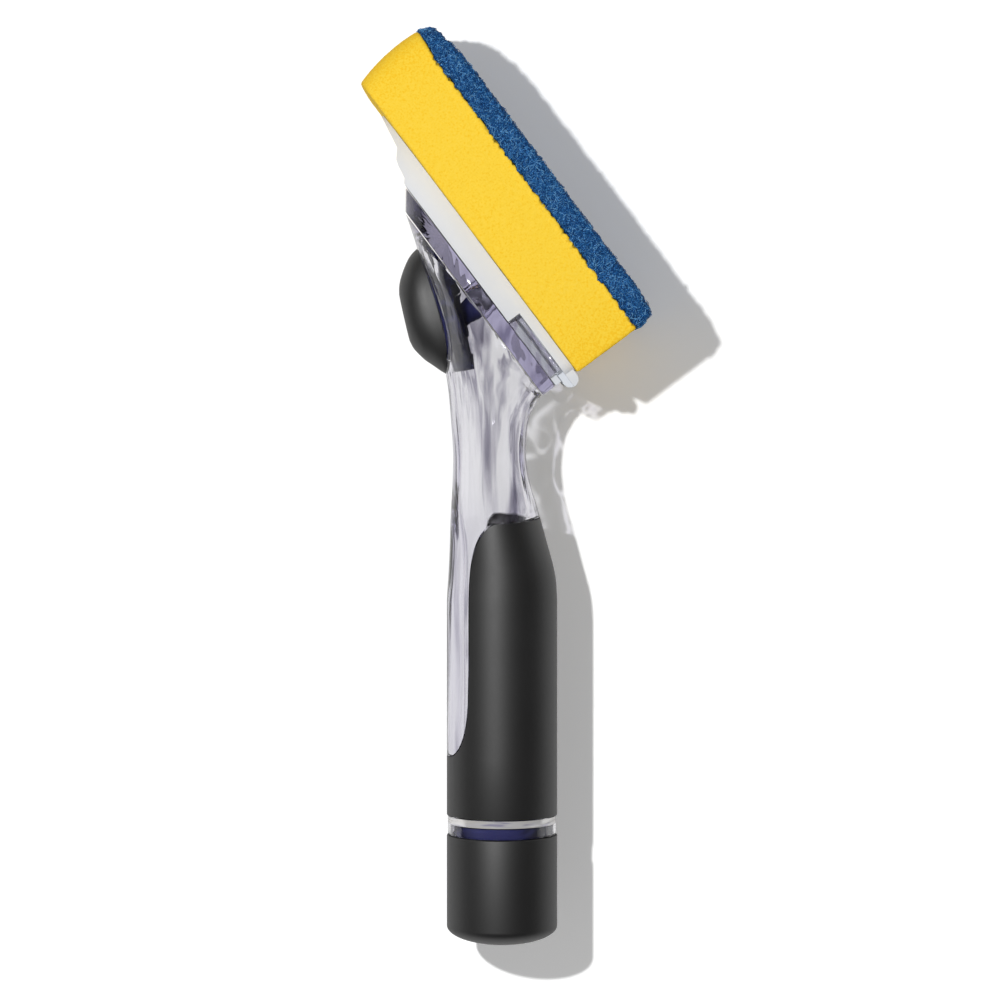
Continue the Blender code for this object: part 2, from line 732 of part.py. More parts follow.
def make_pump_cup(spout_start):
    """The cup and its cylinder, with a spout from spout_start in the outlet's frame to the head plate."""
    depth = CUP_FLOOR_DEPTH + CUP_WALL
    cup = slab("pump_cup", button_outline(0), -depth, BUTTON_HEIGHT, button_frame, navy_plastic)
    combine(cup, neck_solid("cup_limit", CUP_LIP_DEPTH), "INTERSECT")
    hollow_top = BUTTON_HEIGHT + CUT_OVERRUN
    hollow = slab("cup_hollow", button_outline(-CUP_WALL), -CUP_FLOOR_DEPTH, hollow_top, button_frame)
    combine(hollow, head_side("cup_toe_wall", CUP_WALL))
    combine(cup, hollow)
    floor, radius = -PUMP_FLOOR_DEPTH, PUMP_BORE + PUMP_WALL
    below, above = floor - PUMP_WALL, floor + PUMP_WALL
    cylinder = rod("pump_cylinder", radius, below, -PUMP_TOP_DEPTH, pump_frame, sides=BUTTON_POINTS)
    combine(cup, cylinder, "UNION")
    root = SPOUT_ROOT_SHARE * PUMP_WALL
    combine(cup, rod("pump_spout", SPOUT_RADIUS, spout_start - root, -FIT_GAP, outlet_frame), "UNION")
    combine(cup, rod("pump_bore", PUMP_BORE, floor, CUT_OVERRUN, pump_frame, sides=BUTTON_POINTS))
    combine(cup, rod("pump_outlet", OUTLET_RADIUS, below, above, pump_frame, sides=16))
    spout_bore = rod("spout_bore", OUTLET_RADIUS, spout_start - root / 2, CUT_OVERRUN, outlet_frame, sides=16)
    combine(cup, spout_bore)
    inlet_low = below - PUMP_WALL
    for k in range(INLET_COUNT):
        turn = 2 * math.pi * k / INLET_COUNT
        center = (INLET_CIRCLE_RADIUS * math.cos(turn), INLET_CIRCLE_RADIUS * math.sin(turn))
        combine(cup, rod(f"inlet_hole_{k}", INLET_RADIUS, inlet_low, above, pump_frame, center, sides=8))
    shade(cup)

    flap_low = floor + FIT_GAP
    flap_radius = PUMP_BORE - FIT_GAP
    flap = closed_profile(
        [
            (FLAP_HOLE_RADIUS, flap_low + FLAP_THICKNESS),
            (flap_radius, flap_low + FLAP_THICKNESS),
            (flap_radius, flap_low),
            (FLAP_HOLE_RADIUS, flap_low),
        ]
    )
    turned("inlet_valve", flap, pump_frame, silicone, BUTTON_POINTS)


def make_return_spring():
    low = -CUP_FLOOR_DEPTH + FIT_GAP + SPRING_WIRE_RADIUS
    high = CORE_PLATE_HEIGHT - FIT_GAP - SPRING_WIRE_RADIUS
    wire = bpy.data.curves.new("return_spring", "CURVE")
    wire.dimensions = "3D"
    wire.bevel_depth = SPRING_WIRE_RADIUS
    wire.bevel_resolution = 1
    wire.use_fill_caps = True
    count = round(SPRING_TURNS * SPRING_POINTS_PER_TURN)
    line = wire.splines.new("POLY")
    line.points.add(count)
    for k in range(count + 1):
        turn = 2 * math.pi * SPRING_TURNS * k / count
        rise = low + (high - low) * k / count
        line.points[k].co = (SPRING_RADIUS * math.cos(turn), SPRING_RADIUS * math.sin(turn), rise, 1)
    made = bpy.data.objects.new("return_spring", wire)
    wire.materials.append(steel)
    parts.objects.link(made)
    made.parent = pump_frame


def make_grip_sleeve():
    shade(grip_skin("grip_sleeve", 0, 0, GRIP_THICKNESS, black_soft))


def make_cap():
    edge = HANDLE_RADIUS - CAP_EDGE_RADIUS
    dome_radius = (edge**2 + CAP_DOME_HEIGHT**2) / (2 * CAP_DOME_HEIGHT)
    dome_angle = math.asin(edge / dome_radius)
    inner = HANDLE_RADIUS - CAP_WALL
    inner_edge = CAP_DOME_HEIGHT + CAP_EDGE_RADIUS
    fillet = arc((edge, inner_edge), CAP_EDGE_RADIUS, 0, dome_angle - math.pi / 2, ARC_STEPS)
    dome = arc((0, dome_radius), dome_radius, dome_angle - math.pi / 2, -math.pi / 2, ARC_STEPS)
    profile = [
        (0, CAP_FLOOR),
        (edge, CAP_FLOOR + CAP_DOME_HEIGHT),
        (inner, inner_edge + CAP_WALL),
        (inner, CAP_LENGTH),
        (HANDLE_RADIUS - CAP_RIM_CHAMFER, CAP_LENGTH),
        (HANDLE_RADIUS, CAP_LENGTH - CAP_RIM_CHAMFER),
        *fillet,
        *dome[:-1],
        (0, 0),
    ]
    turned("cap_cover", profile, handle_frame, black_soft)

    core_bottom = inner_edge + CAP_WALL + CORE_FOOT_RISE
    core_radius = inner - FIT_GAP
    plug_top = SHELL_BOTTOM + PLUG_LENGTH
    hollow_radius = PLUG_RADIUS - PLUG_WALL
    core_profile = [
        (0, plug_top - PLUG_WALL),
        (hollow_radius, plug_top - PLUG_WALL),
        (hollow_radius, core_bottom),
        (core_radius, core_bottom),
        (core_radius, CAP_LENGTH),
        (PLUG_RADIUS, CAP_LENGTH),
        (PLUG_RADIUS, plug_top - PLUG_CHAMFER),
        (PLUG_RADIUS - PLUG_CHAMFER, plug_top),
        (0, plug_top),
    ][::-1]
    core = turned("cap_core", core_profile, handle_frame, navy_plastic)
    ridge = thread_ridge(
        "cap_thread",
        PLUG_RADIUS - THREAD_ROOT,
        PLUG_RADIUS + THREAD_HEIGHT,
        THREAD_WIDTH,
        0,
        SHELL_BOTTOM + THREAD_START,
        THREAD_TURNS,
    )
    combine(core, ridge, "UNION")

    gasket_low = CAP_LENGTH + FIT_GAP
    inner_radius, outer_radius = BORE_RADIUS, BORE_RADIUS + GASKET_WIDTH
    gasket = closed_profile(
        [
            (inner_radius, gasket_low + GASKET_HEIGHT),
            (outer_radius, gasket_low + GASKET_HEIGHT),
            (outer_radius, gasket_low),
            (inner_radius, gasket_low),
        ]
    )
    turned("cap_gasket", gasket, handle_frame, navy_soft)


def plate_outline(length, half_width, toe_start_share, toe_power):
    """A plate's outline: a straight heel with round corners, straight sides and a full round toe."""
    radius = PLATE_HEEL_RADIUS
    toe_start = toe_start_share * length
    right_corner = arc((half_width - radius, radius), radius, -math.pi / 2, 0, PLATE_ARC_STEPS)
    left_corner = [(-x, y) for x, y in right_corner[::-1]]
    toe = []
    for k in range(PLATE_TOE_STEPS + 1):
        turn = math.pi * k / PLATE_TOE_STEPS
        toe.append(
            (
                half_width * signed_power(math.cos(turn), 2 / toe_power),
                toe_start + (length - toe_start) * signed_power(math.sin(turn), 2 / toe_power),
            )
        )
    return [*right_corner, *toe, *left_corner]


def make_head_plate():
    back_length = PLATE_LENGTH - PLATE_TOE_BEVEL
    back = plate_outline(back_length, PLATE_HALF_WIDTH, PLATE_TOE_START_SHARE, PLATE_TOE_POWER)
    front = plate_outline(PLATE_LENGTH, PLATE_HALF_WIDTH, PLATE_TOE_START_SHARE, PLATE_TOE_POWER)
    rings = [[Vector((x, y, FIT_GAP)) for x, y in back], [Vector((x, y, PLATE_THICKNESS)) for x, y in front]]
    plate = loft("head_plate", rings, head_frame, clear_plastic)

    lug_top = PLATE_THICKNESS + LUG_HEIGHT
    lug_heel, lug_toe = LUG_HEEL_INSET + PLATE_HEEL_RADIUS / 2, LUG_HEEL_INSET + LUG_LENGTH
    wall_low, lip_low = PLATE_THICKNESS - LUG_ROOT, lug_top - LUG_LIP_THICKNESS
    for side in (-1, 1):
        reach = sorted((side * (PLATE_HALF_WIDTH - LUG_WALL), side * PLATE_HALF_WIDTH))
        low, high = (reach[0], lug_heel, wall_low), (reach[1], lug_toe, lug_top)
        combine(plate, block(f"lug_wall_{side}", low, high, head_frame), "UNION")
        reach = sorted((side * (PLATE_HALF_WIDTH - LUG_LIP_WIDTH), side * (PLATE_HALF_WIDTH - LUG_WALL / 2)))
        low, high = (reach[0], lug_heel, lip_low), (reach[1], lug_toe, lug_top)
        combine(plate, block(f"lug_lip_{side}", low, high, head_frame), "UNION")

    hole_radius = RETAINER_HOLE_RADIUS / 2
    hole = rod("plate_outlet", hole_radius, -CUT_OVERRUN, PLATE_THICKNESS, outlet_frame, sides=16)
    combine(plate, hole)
    spout_seat = SPOUT_SEAL_RADIUS + FIT_GAP
    combine(plate, rod("seal_seat", spout_seat, -CUT_OVERRUN, SPOUT_SEAL_HEIGHT + FIT_GAP, outlet_frame))
    seat_bottom = PLATE_THICKNESS - RETAINER_THICKNESS - VALVE_THICKNESS - 2 * FIT_GAP
    seat_top = PLATE_THICKNESS + CUT_OVERRUN
    combine(plate, rod("valve_seat", VALVE_RADIUS + FIT_GAP, seat_bottom, seat_top, outlet_frame))

    valve_low = seat_bottom + FIT_GAP
    valve_high = valve_low + VALVE_THICKNESS
    valve = rod("outlet_valve", VALVE_RADIUS, valve_low, valve_high, outlet_frame, material=silicone)
    slit_sizes = ((VALVE_SLIT_WIDTH, VALVE_SLIT_LENGTH), (VALVE_SLIT_LENGTH, VALVE_SLIT_WIDTH))
    for k, (across, along) in enumerate(slit_sizes):
        slit = block(
            f"valve_slit_{k}",
            (-across / 2, -along / 2, valve_low - CUT_OVERRUN),
            (across / 2, along / 2, valve_high + CUT_OVERRUN),
            outlet_frame,
        )
        combine(valve, slit)
    retainer_low = valve_high + FIT_GAP
    retainer = closed_profile(
        [
            (RETAINER_HOLE_RADIUS, PLATE_THICKNESS),
            (VALVE_RADIUS, PLATE_THICKNESS),
            (VALVE_RADIUS, retainer_low),
            (RETAINER_HOLE_RADIUS, retainer_low),
        ]
    )
    turned("valve_retainer", retainer, outlet_frame, navy_plastic, 24)
    seal = closed_profile(
        [
            (hole_radius, SPOUT_SEAL_HEIGHT),
            (SPOUT_SEAL_RADIUS, SPOUT_SEAL_HEIGHT),
            (SPOUT_SEAL_RADIUS, 0),
            (hole_radius, 0),
        ]
    )
    turned("outlet_seal", seal, outlet_frame, silicone, 24)
    shade(plate)


def make_refill_plate():
    low = PLATE_THICKNESS + FIT_GAP
    high = PLATE_THICKNESS + REFILL_THICKNESS
    outline = plate_outline(REFILL_LENGTH, REFILL_HALF_WIDTH, REFILL_TOE_START_SHARE, REFILL_TOE_POWER)
    plate = slab("refill_plate", outline, low, high, head_frame, milky_plastic)

    reach = REFILL_HALF_WIDTH + CUT_OVERRUN
    ramp = [(run * REFILL_LENGTH, high - left * (high - low)) for run, left in REFILL_RAMP_SHARES]
    past = REFILL_LENGTH + CUT_OVERRUN
    below = low - CUT_OVERRUN
    ramp_side = [(past, below), (past, ramp[0][1]), *ramp, (ramp[-1][0], below)]
    rings = [[Vector((x, y, z)) for y, z in ramp_side] for x in (-reach, reach)]
    combine(plate, loft("toe_ramp", rings, head_frame))

    slot_top = PLATE_THICKNESS + LUG_HEIGHT + FIT_GAP
    slot_toe = LUG_HEEL_INSET + LUG_LENGTH + FIT_GAP
    for side in (-1, 1):
        across = sorted((side * (PLATE_HALF_WIDTH - LUG_LIP_WIDTH - FIT_GAP), side * reach))
        slot = block(
            f"lug_slot_{side}",
            (across[0], -REFILL_LIP_LENGTH - CUT_OVERRUN, slot_top - LUG_LIP_THICKNESS - 2 * FIT_GAP),
            (across[1], slot_toe, slot_top),
            head_frame,
        )
        combine(plate, slot)
        across = sorted((side * (PLATE_HALF_WIDTH - LUG_WALL - FIT_GAP), side * reach))
        slot = block(
            f"lug_wall_slot_{side}",
            (across[0], -REFILL_LIP_LENGTH - CUT_OVERRUN, low - CUT_OVERRUN),
            (across[1], slot_toe, slot_top),
            head_frame,
        )
        combine(plate, slot)

    lip_high = high - REFILL_LIP_TOP_INSET
    lip_radius = REFILL_LIP_THICKNESS / 2
    lip_middle = lip_high - lip_radius
    nose_center = (lip_radius - REFILL_LIP_LENGTH, lip_middle)
    nose = arc(nose_center, lip_radius, math.pi / 2, 3 * math.pi / 2, 2 * ARC_STEPS)
    lip_root = PLATE_HEEL_RADIUS * 2
    side_view = [*nose, (lip_root, lip_middle - lip_radius), (lip_root, lip_high)]
    lip_sides = (-REFILL_LIP_HALF_WIDTH, REFILL_LIP_HALF_WIDTH)
    lip_rings = [[Vector((x, y, z)) for y, z in side_view] for x in lip_sides]
    lip = loft("thumb_lip", lip_rings, head_frame)
    for side in (-1, 1):
        across = sorted((side * (PLATE_HALF_WIDTH - LUG_LIP_WIDTH - FIT_GAP), side * reach))
        notch = block(
            f"lip_notch_{side}",
            (across[0], -REFILL_LIP_LENGTH - CUT_OVERRUN, low - CUT_OVERRUN),
            (across[1], slot_toe, slot_top),
            head_frame,
        )
        combine(lip, notch)
    combine(plate, lip, "UNION")
    hole = rod("soap_hole", REFILL_HOLE_RADIUS, low - CUT_OVERRUN, high + CUT_OVERRUN, outlet_frame)
    combine(plate, hole)
    shade(plate)


def pad_outline():
    """The sponge's outline: a straight heel, full sides, round toe corners and a bowed toe."""
    heel = -SPONGE_HEEL_INSET
    toe = heel + SPONGE_LENGTH
    radius = SPONGE_CORNER_RADIUS
    side_end = toe - radius
    side = []
    for k in range(SPONGE_SIDE_STEPS + 1):
        share = k / SPONGE_SIDE_STEPS
        bow = (SPONGE_HALF_WIDTH - SPONGE_HEEL_HALF_WIDTH) * (1 - (2 * share - 1) ** 2)
        side.append((SPONGE_HEEL_HALF_WIDTH + bow, heel + share * (side_end - heel)))
    corner = arc((SPONGE_HEEL_HALF_WIDTH - radius, side_end), radius, 0, math.pi / 2, SPONGE_CORNER_STEPS)
    half_toe = SPONGE_HEEL_HALF_WIDTH - radius
    front = []
    for k in range(1, SPONGE_SIDE_STEPS):
        across = half_toe * (1 - 2 * k / SPONGE_SIDE_STEPS)
        front.append((across, toe + SPONGE_TOE_RISE * (1 - (across / half_toe) ** 2)))
    other_corner = [(-x, y) for x, y in corner[::-1]]
    other_side = [(-x, y) for x, y in side[::-1]]
    return [*side, *corner[1:], *front, *other_corner, *other_side[1:]]


def make_sponge():
    low = sponge_near
    middle = low + SPONGE_THICKNESS
    pad_low = middle + FIT_GAP
    floor_side = block(
        "table_plane",
        (MID_HEIGHT, -REFILL_LENGTH, 0),
        (2 * MID_HEIGHT, 2 * REFILL_LENGTH, 2 * MID_HEIGHT),
        head_frame,
    )
    sponge = slab("sponge", pad_outline(), low, middle, head_frame, yellow_foam)
    combine(round_edges(sponge, SPONGE_EDGE_RADIUS, 1), floor_side)
    pad = slab("scouring_pad", pad_outline(), pad_low, pad_far, head_frame, blue_fibre)
    combine(round_edges(pad, PAD_EDGE_RADIUS, 1), floor_side)


clear_scene()
parts = new_collection("dish scrubber", False)
cutters = new_collection("cutters", True)

black_soft = new_material("black soft grip", BLACK_SOFT, 0.6)
clear_plastic = new_material("clear plastic", CLEAR_VIOLET, 0.05, transmission=0.9)
navy_plastic = new_material("navy plastic", NAVY, 0.35)
navy_soft = new_material("navy soft gasket", NAVY, 0.5)
milky_plastic = new_material("milky plastic", MILKY_WHITE, 0.4)
yellow_foam = new_material("yellow foam", SPONGE_YELLOW, 0.9)
blue_fibre = new_material("blue scouring fibre", PAD_BLUE, 0.9)
silicone = new_material("silicone", SILICONE_GREY, 0.4)
steel = new_material("spring steel", STEEL_GREY, 0.3, metallic=1.0)

SCOUR_NORMAL = Vector((math.sin(HEAD_TILT), 0, math.cos(HEAD_TILT)))
TOEWARD = Vector((-math.cos(HEAD_TILT), 0, math.sin(HEAD_TILT)))

sponge_near = PLATE_THICKNESS + REFILL_THICKNESS + FIT_GAP
pad_far = sponge_near + SPONGE_THICKNESS + FIT_GAP + PAD_THICKNESS
toe_length = SPONGE_LENGTH + SPONGE_TOE_RISE - SPONGE_HEEL_INSET
toe_tip = head_point(toe_length, sponge_near)
pad_heel = head_point(-SPONGE_HEEL_INSET, pad_far)
pad_toe = head_point(toe_length, pad_far)
table_frame = bpy.data.objects.new("brush", None)
parts.objects.link(table_frame)
table_frame.location = (-(toe_tip.x + pad_heel.x) / 2, -pad_toe.z / 2, MID_HEIGHT)
handle_frame = new_frame("handle frame", table_frame, Vector(), Vector((0, 0, -1)), Vector((0, 1, 0)))
head_frame = new_frame("head frame", handle_frame, head_point(0, 0), TOEWARD, SCOUR_NORMAL)

button_center = back_point(BUTTON_PLACE_SHARE)
half_share = BUTTON_LENGTH / 2 / (head_point(NECK_FOOT_LENGTH, 0).z - NECK_START)
button_toe = back_point(BUTTON_PLACE_SHARE + half_share)
button_low = back_point(BUTTON_PLACE_SHARE - half_share)
button_along = (button_toe - button_low).normalized()
button_out = Vector((-button_along.z, 0, button_along.x))
button_frame = new_frame("button frame", handle_frame, button_center, button_along, button_out)
pump_center = button_center + PUMP_OFFSET * button_along
pump_frame = new_frame("pump frame", handle_frame, pump_center, button_along, button_out)
pump_foot = pump_center - (PUMP_FLOOR_DEPTH + PUMP_WALL) * button_out
foot_from_heel = pump_foot - head_point(0, 0)
outlet_center = head_point(foot_from_heel.dot(TOEWARD), 0)
outlet_frame = new_frame("outlet frame", handle_frame, outlet_center, TOEWARD, SCOUR_NORMAL)

make_handle_shell()
make_grip_sleeve()
make_cap()
make_button()
make_pump_cup(foot_from_heel.dot(SCOUR_NORMAL))
make_return_spring()
make_head_plate()
make_refill_plate()
make_sponge()
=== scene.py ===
"""Looks for the dish scrubber: clear handle, black grip, navy pump, yellow sponge and blue pad."""

import json
import math

import bmesh
import bpy
import numpy as np
from mathutils import Matrix, Vector, noise


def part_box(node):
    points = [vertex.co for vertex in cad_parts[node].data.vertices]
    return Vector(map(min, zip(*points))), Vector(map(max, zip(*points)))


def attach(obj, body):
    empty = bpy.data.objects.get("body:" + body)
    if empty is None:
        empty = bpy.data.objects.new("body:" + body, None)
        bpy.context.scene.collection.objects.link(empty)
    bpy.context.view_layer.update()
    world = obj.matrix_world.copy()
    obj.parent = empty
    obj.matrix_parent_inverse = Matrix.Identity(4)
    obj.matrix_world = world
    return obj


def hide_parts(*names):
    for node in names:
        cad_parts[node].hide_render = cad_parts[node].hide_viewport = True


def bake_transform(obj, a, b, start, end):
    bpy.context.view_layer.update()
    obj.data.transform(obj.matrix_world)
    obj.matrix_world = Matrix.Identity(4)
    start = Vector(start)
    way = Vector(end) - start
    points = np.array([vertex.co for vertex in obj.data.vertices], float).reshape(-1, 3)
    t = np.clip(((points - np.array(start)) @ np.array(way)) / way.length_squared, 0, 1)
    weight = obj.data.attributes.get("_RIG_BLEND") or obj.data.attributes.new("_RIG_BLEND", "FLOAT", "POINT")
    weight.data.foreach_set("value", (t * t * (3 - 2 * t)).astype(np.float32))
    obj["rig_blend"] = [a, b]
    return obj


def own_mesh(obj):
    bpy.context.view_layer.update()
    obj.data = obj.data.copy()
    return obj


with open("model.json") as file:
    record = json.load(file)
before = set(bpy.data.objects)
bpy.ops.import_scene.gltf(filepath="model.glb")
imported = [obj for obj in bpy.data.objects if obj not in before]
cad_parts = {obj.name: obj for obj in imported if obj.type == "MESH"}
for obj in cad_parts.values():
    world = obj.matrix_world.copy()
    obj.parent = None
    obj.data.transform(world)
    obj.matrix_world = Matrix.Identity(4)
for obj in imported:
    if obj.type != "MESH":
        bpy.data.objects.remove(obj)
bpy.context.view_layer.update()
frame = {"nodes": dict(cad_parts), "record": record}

cad_nodes = frame["nodes"]

# The CAD part's own sizes, in metres, for the pieces that are drawn again here with finer surfaces.
FIT_GAP = 0.0003
HANDLE_RADIUS = 0.016
CAP_LENGTH = 0.0316
CAP_WALL = 0.0018
CAP_DOME_HEIGHT = 0.0026
CAP_EDGE_RADIUS = 0.0027
CAP_FLOOR = 0.0022
CAP_RIM_CHAMFER = 0.0003
COLLAR_LENGTH = 0.0059
COLLAR_STEP = 0.0003
GRIP_FOOT = 0.0169
GRIP_LENGTH = 0.0846
GRIP_THICKNESS = 0.0018
GRIP_TOP_RISE = 0.0014
WINDOW_HALF_ANGLE = math.radians(54)
WINDOW_END_LENGTH = 0.026
WINDOW_CORNER_LENGTH = 0.0175
WINDOW_CORNER_ANGLE = math.radians(93.8)
ROUND_LENGTH = 0.062
SHELL_WALL = 0.0022
NECK_WALL = 0.0024
WALL_CHANGE_LENGTH = 0.0196
NECK_LENGTH = 0.0594
HEEL_OFFSET = 0.0115
HEAD_TILT = math.radians(53.13)
NECK_FOOT_LENGTH = 0.0656
NECK_FOOT_HALF_WIDTH = 0.0215
NECK_SHARES = (
    (0.0696, -0.039, 0.1314, 0.139, -0.018, 0.0),
    (0.1383, -0.069, 0.2611, 0.594, -0.055, 0.0),
    (0.2150, -0.091, 0.4060, 1.110, -0.109, 0.0),
    (0.3104, -0.141, 0.5861, 1.799, -0.164, 0.0),
    (0.3800, -0.151, 0.7176, 2.027, -0.182, 0.0),
    (0.4639, -0.103, 0.8338, 1.938, -0.127, 0.05),
    (0.5531, -0.026, 0.8977, 1.762, 0.036, 0.1),
    (0.6468, 0.137, 0.9382, 1.498, 0.273, 0.2),
    (0.7404, 0.336, 0.9651, 1.322, 0.545, 0.35),
    (0.8342, 0.543, 0.9803, 1.212, 0.800, 0.6),
    (0.9278, 0.774, 0.9887, 1.146, 0.950, 0.9),
    (1.0, 1.0, 1.0, 1.0, 1.0, 1.0),
)
ROUND_POWER = 2.0
FOOT_POWER = 2.7
GASKET_WIDTH = 0.0028
GASKET_HEIGHT = 0.0029
THREAD_PITCH = 0.004
THREAD_START = 0.0069
THREAD_TURNS = 0.75
THREAD_HEIGHT = 0.0007
THREAD_WIDTH = 0.0016
THREAD_TIP_SHARE = 0.6
THREAD_CLEARANCE = 0.0004
THREAD_ROOT = 0.0004
BUTTON_PLACE_SHARE = 0.7489
BUTTON_LENGTH = 0.0376
BUTTON_WIDTH = 0.022
BUTTON_HEIGHT = 0.0084
BUTTON_SKIRT = 0.0062
BUTTON_FOOT = 0.0012
BUTTON_SKIN = 0.0018
BUTTON_END_SKIN = 0.0052
BUTTON_POWER = 2.25
BUTTON_SHARES = (
    (0.0, 0.0, 1.0, 1.0),
    (0.19, 0.025, 0.960, 0.985),
    (0.40, 0.065, 0.908, 0.945),
    (0.62, 0.130, 0.855, 0.865),
    (0.80, 0.195, 0.795, 0.745),
    (0.92, 0.255, 0.745, 0.590),
    (0.985, 0.315, 0.690, 0.400),
)
PUMP_OFFSET = -0.003
PUMP_FLOOR_DEPTH = 0.0071
PUMP_WALL = 0.0012
CUP_FLOOR_DEPTH = 0.0058
CORE_PLATE_HEIGHT = 0.004
SPRING_RADIUS = 0.0074
SPRING_WIRE_RADIUS = 0.0004
SPRING_TURNS = 4.5
PLATE_THICKNESS = 0.0045
SPONGE_NEAR = 0.0119
SPONGE_FAR = 0.0327
PAD_NEAR = 0.0329
PAD_FAR = 0.0394
SPONGE_HEEL_INSET = 0.0005
SPONGE_LENGTH = 0.1023
SPONGE_TOE_RISE = 0.0012
SPONGE_HEEL_HALF_WIDTH = 0.031
SPONGE_HALF_WIDTH = 0.033
SPONGE_CORNER_RADIUS = 0.008

# How fine the surfaces are drawn.
SECTION_POINTS = 96
STATION_STEPS = 5
GRIP_COLUMNS = 96
GRIP_FRONT_COLUMNS = 24
WINDOW_END_SHARES = (0.5, 0.575, 0.65, 0.73, 0.8, 0.86, 0.9, 0.93, 0.96, 0.982, 1.0)
WINDOW_CORNER_STEPS = 16
WINDOW_SIDE_ROWS = 24
BUTTON_POINTS = 72
BUTTON_STEPS = 4
CROWN_STEPS = 6
CAP_SIDES = 144
CAP_FOOT_STEPS = 24
CAP_RIM_STEPS = 4
SPRING_POINTS = 40
SPRING_WIRE_SIDES = 12
SPONGE_STEPS = 16
SPONGE_VOXEL = 0.00062
PAD_VOXEL = 0.0007

# How the looks go on from there: cuts and joins, rounded edges, and the bent and worn sponge and pad.
OVERRUN = 0.002
WELD = 0.000001
FLAT_ENOUGH = math.radians(0.5)
LEAD_IN = 0.008
DOME_BLEND_HEIGHT = 0.0078
SOFT_EDGE = 0.00025
PLATE_EDGE = 0.0003
SPONGE_EDGE = 0.0004
PAD_EDGE = 0.0010
TOE_START_SHARE = 0.6
TOE_END_SHARE = 0.85
TOE_SLANT = 0.0022
TOE_BOW = 0.0011
TOE_PINCH = 0.0014
TOE_SHIFT = 0.0009
HEEL_DRAW = 0.0016
HEEL_PINCH = 0.0006
LAP_DEPTH = 0.0012
LAP_RISE = 0.0003
LAP_SHARE = 0.15
LAPS_TO_THE_METRE = 620
STRAND_SEED = 3
STRAND_SHADE_SEED = 11
EDGE_TURN = 0.6
STRAND_LEAN = 0.6
STRAND_SHARES = (0.6, 1.25)
PIT_MIDDLE = 0.45

# The plainer pieces: those drawn from the CAD mesh with rounded edges, and those shown as they are.
SOFTENED_EDGES = {
    "refill_plate": PLATE_EDGE,
    "cap_gasket": 0.0002,
    "piston_seal": 0.0001,
    "inlet_valve": 0.00005,
    "outlet_valve": 0.0001,
    "outlet_seal": 0.0001,
}
PLAIN_NODES = ("pump_cup", "cap_core", "button_core", "pump_piston", "valve_retainer")

BORE_RADIUS = HANDLE_RADIUS - GRIP_THICKNESS - FIT_GAP - SHELL_WALL
SHELL_BOTTOM = CAP_LENGTH + FIT_GAP
GRIP_BOTTOM = CAP_LENGTH + COLLAR_LENGTH
WINDOW_BOTTOM = GRIP_BOTTOM + GRIP_FOOT
GRIP_TOP = GRIP_BOTTOM + GRIP_LENGTH
NECK_START = GRIP_BOTTOM + ROUND_LENGTH
HEEL_HEIGHT = NECK_START + NECK_LENGTH
GASKET_SEAT_TOP = SHELL_BOTTOM + FIT_GAP + GASKET_HEIGHT
SCOUR_NORMAL = Vector((math.sin(HEAD_TILT), 0, math.cos(HEAD_TILT)))
TOEWARD = Vector((-math.cos(HEAD_TILT), 0, math.sin(HEAD_TILT)))


def place_at(origin, along, out):
    """A place whose z runs along out and whose y runs along along."""
    across = along.cross(out)
    return Matrix.Translation(origin) @ Matrix((across, along, out)).transposed().to_4x4()


def head_point(along, out):
    """A point on the plane of symmetry in the handle's frame, from its place in the head's frame."""
    heel = Vector((HEEL_OFFSET, 0, HEEL_HEIGHT))
    return heel + along * TOEWARD + out * SCOUR_NORMAL


def middle_of(node):
    low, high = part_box(node)
    return (low + high) / 2


cap_middle = middle_of("cap_cover")
handle_origin = Vector((cap_middle.x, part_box("cap_cover")[0].y, cap_middle.z))
handle_place = place_at(handle_origin, Vector((0, 0, -1)), Vector((0, 1, 0)))
head_place = handle_place @ place_at(head_point(0, 0), TOEWARD, SCOUR_NORMAL)


# ---------------------------------------------------------------- materials

# The clear pieces' look: the violet in their depth, and the curling lines in their shadow.
DEEP_VIOLET = (0.72, 0.70, 0.82, 1.0)
VIOLET_DENSITY = 64.0
LINES_TO_THE_METRE = 75.0
LINE_CORE = 0.03
LINE_EDGE = 0.10
CURLS_TO_THE_METRE = 60.0
CURL_REACH = 0.02
WALL_EDGE_START = 0.12
WALL_EDGE_END = 0.26
NEAR_WALL_LIGHT = (0.80, 0.80, 0.81)

# The colour sockets of a Mix node.
MIX_FIRST, MIX_SECOND, MIX_RESULT = 6, 7, 2


def feed(tree, source, socket):
    """Links a socket to an output, or to a node's first output, or else sets it to a value."""
    if isinstance(source, bpy.types.Node):
        source = source.outputs[0]
    if isinstance(source, bpy.types.NodeSocket):
        tree.links.new(source, socket)
    else:
        socket.default_value = source


def add_node(tree, kind, values=(), **settings):
    made = tree.nodes.new(kind)
    for setting, value in settings.items():
        setattr(made, setting, value)
    for socket, value in dict(values).items():
        feed(tree, value, made.inputs[socket])
    return made


def calculate(tree, operation, *values):
    """One operation on numbers."""
    return add_node(tree, "ShaderNodeMath", dict(enumerate(values)), operation=operation)


def calculate_vector(tree, operation, first, second):
    """The result of one operation on two vectors, or on a vector and its scale."""
    second_socket = "Scale" if operation == "SCALE" else 1
    result = "Value" if operation in ("DOT_PRODUCT", "DISTANCE") else "Vector"
    sockets = {0: first, second_socket: second}
    return add_node(tree, "ShaderNodeVectorMath", sockets, operation=operation).outputs[result]


def spanned(tree, value, **ends):
    """A value carried from one range to another, and held at its ends."""
    given = {end.replace("_", " "): place for end, place in ends.items()}
    return add_node(tree, "ShaderNodeMapRange", {"Value": value, **given})


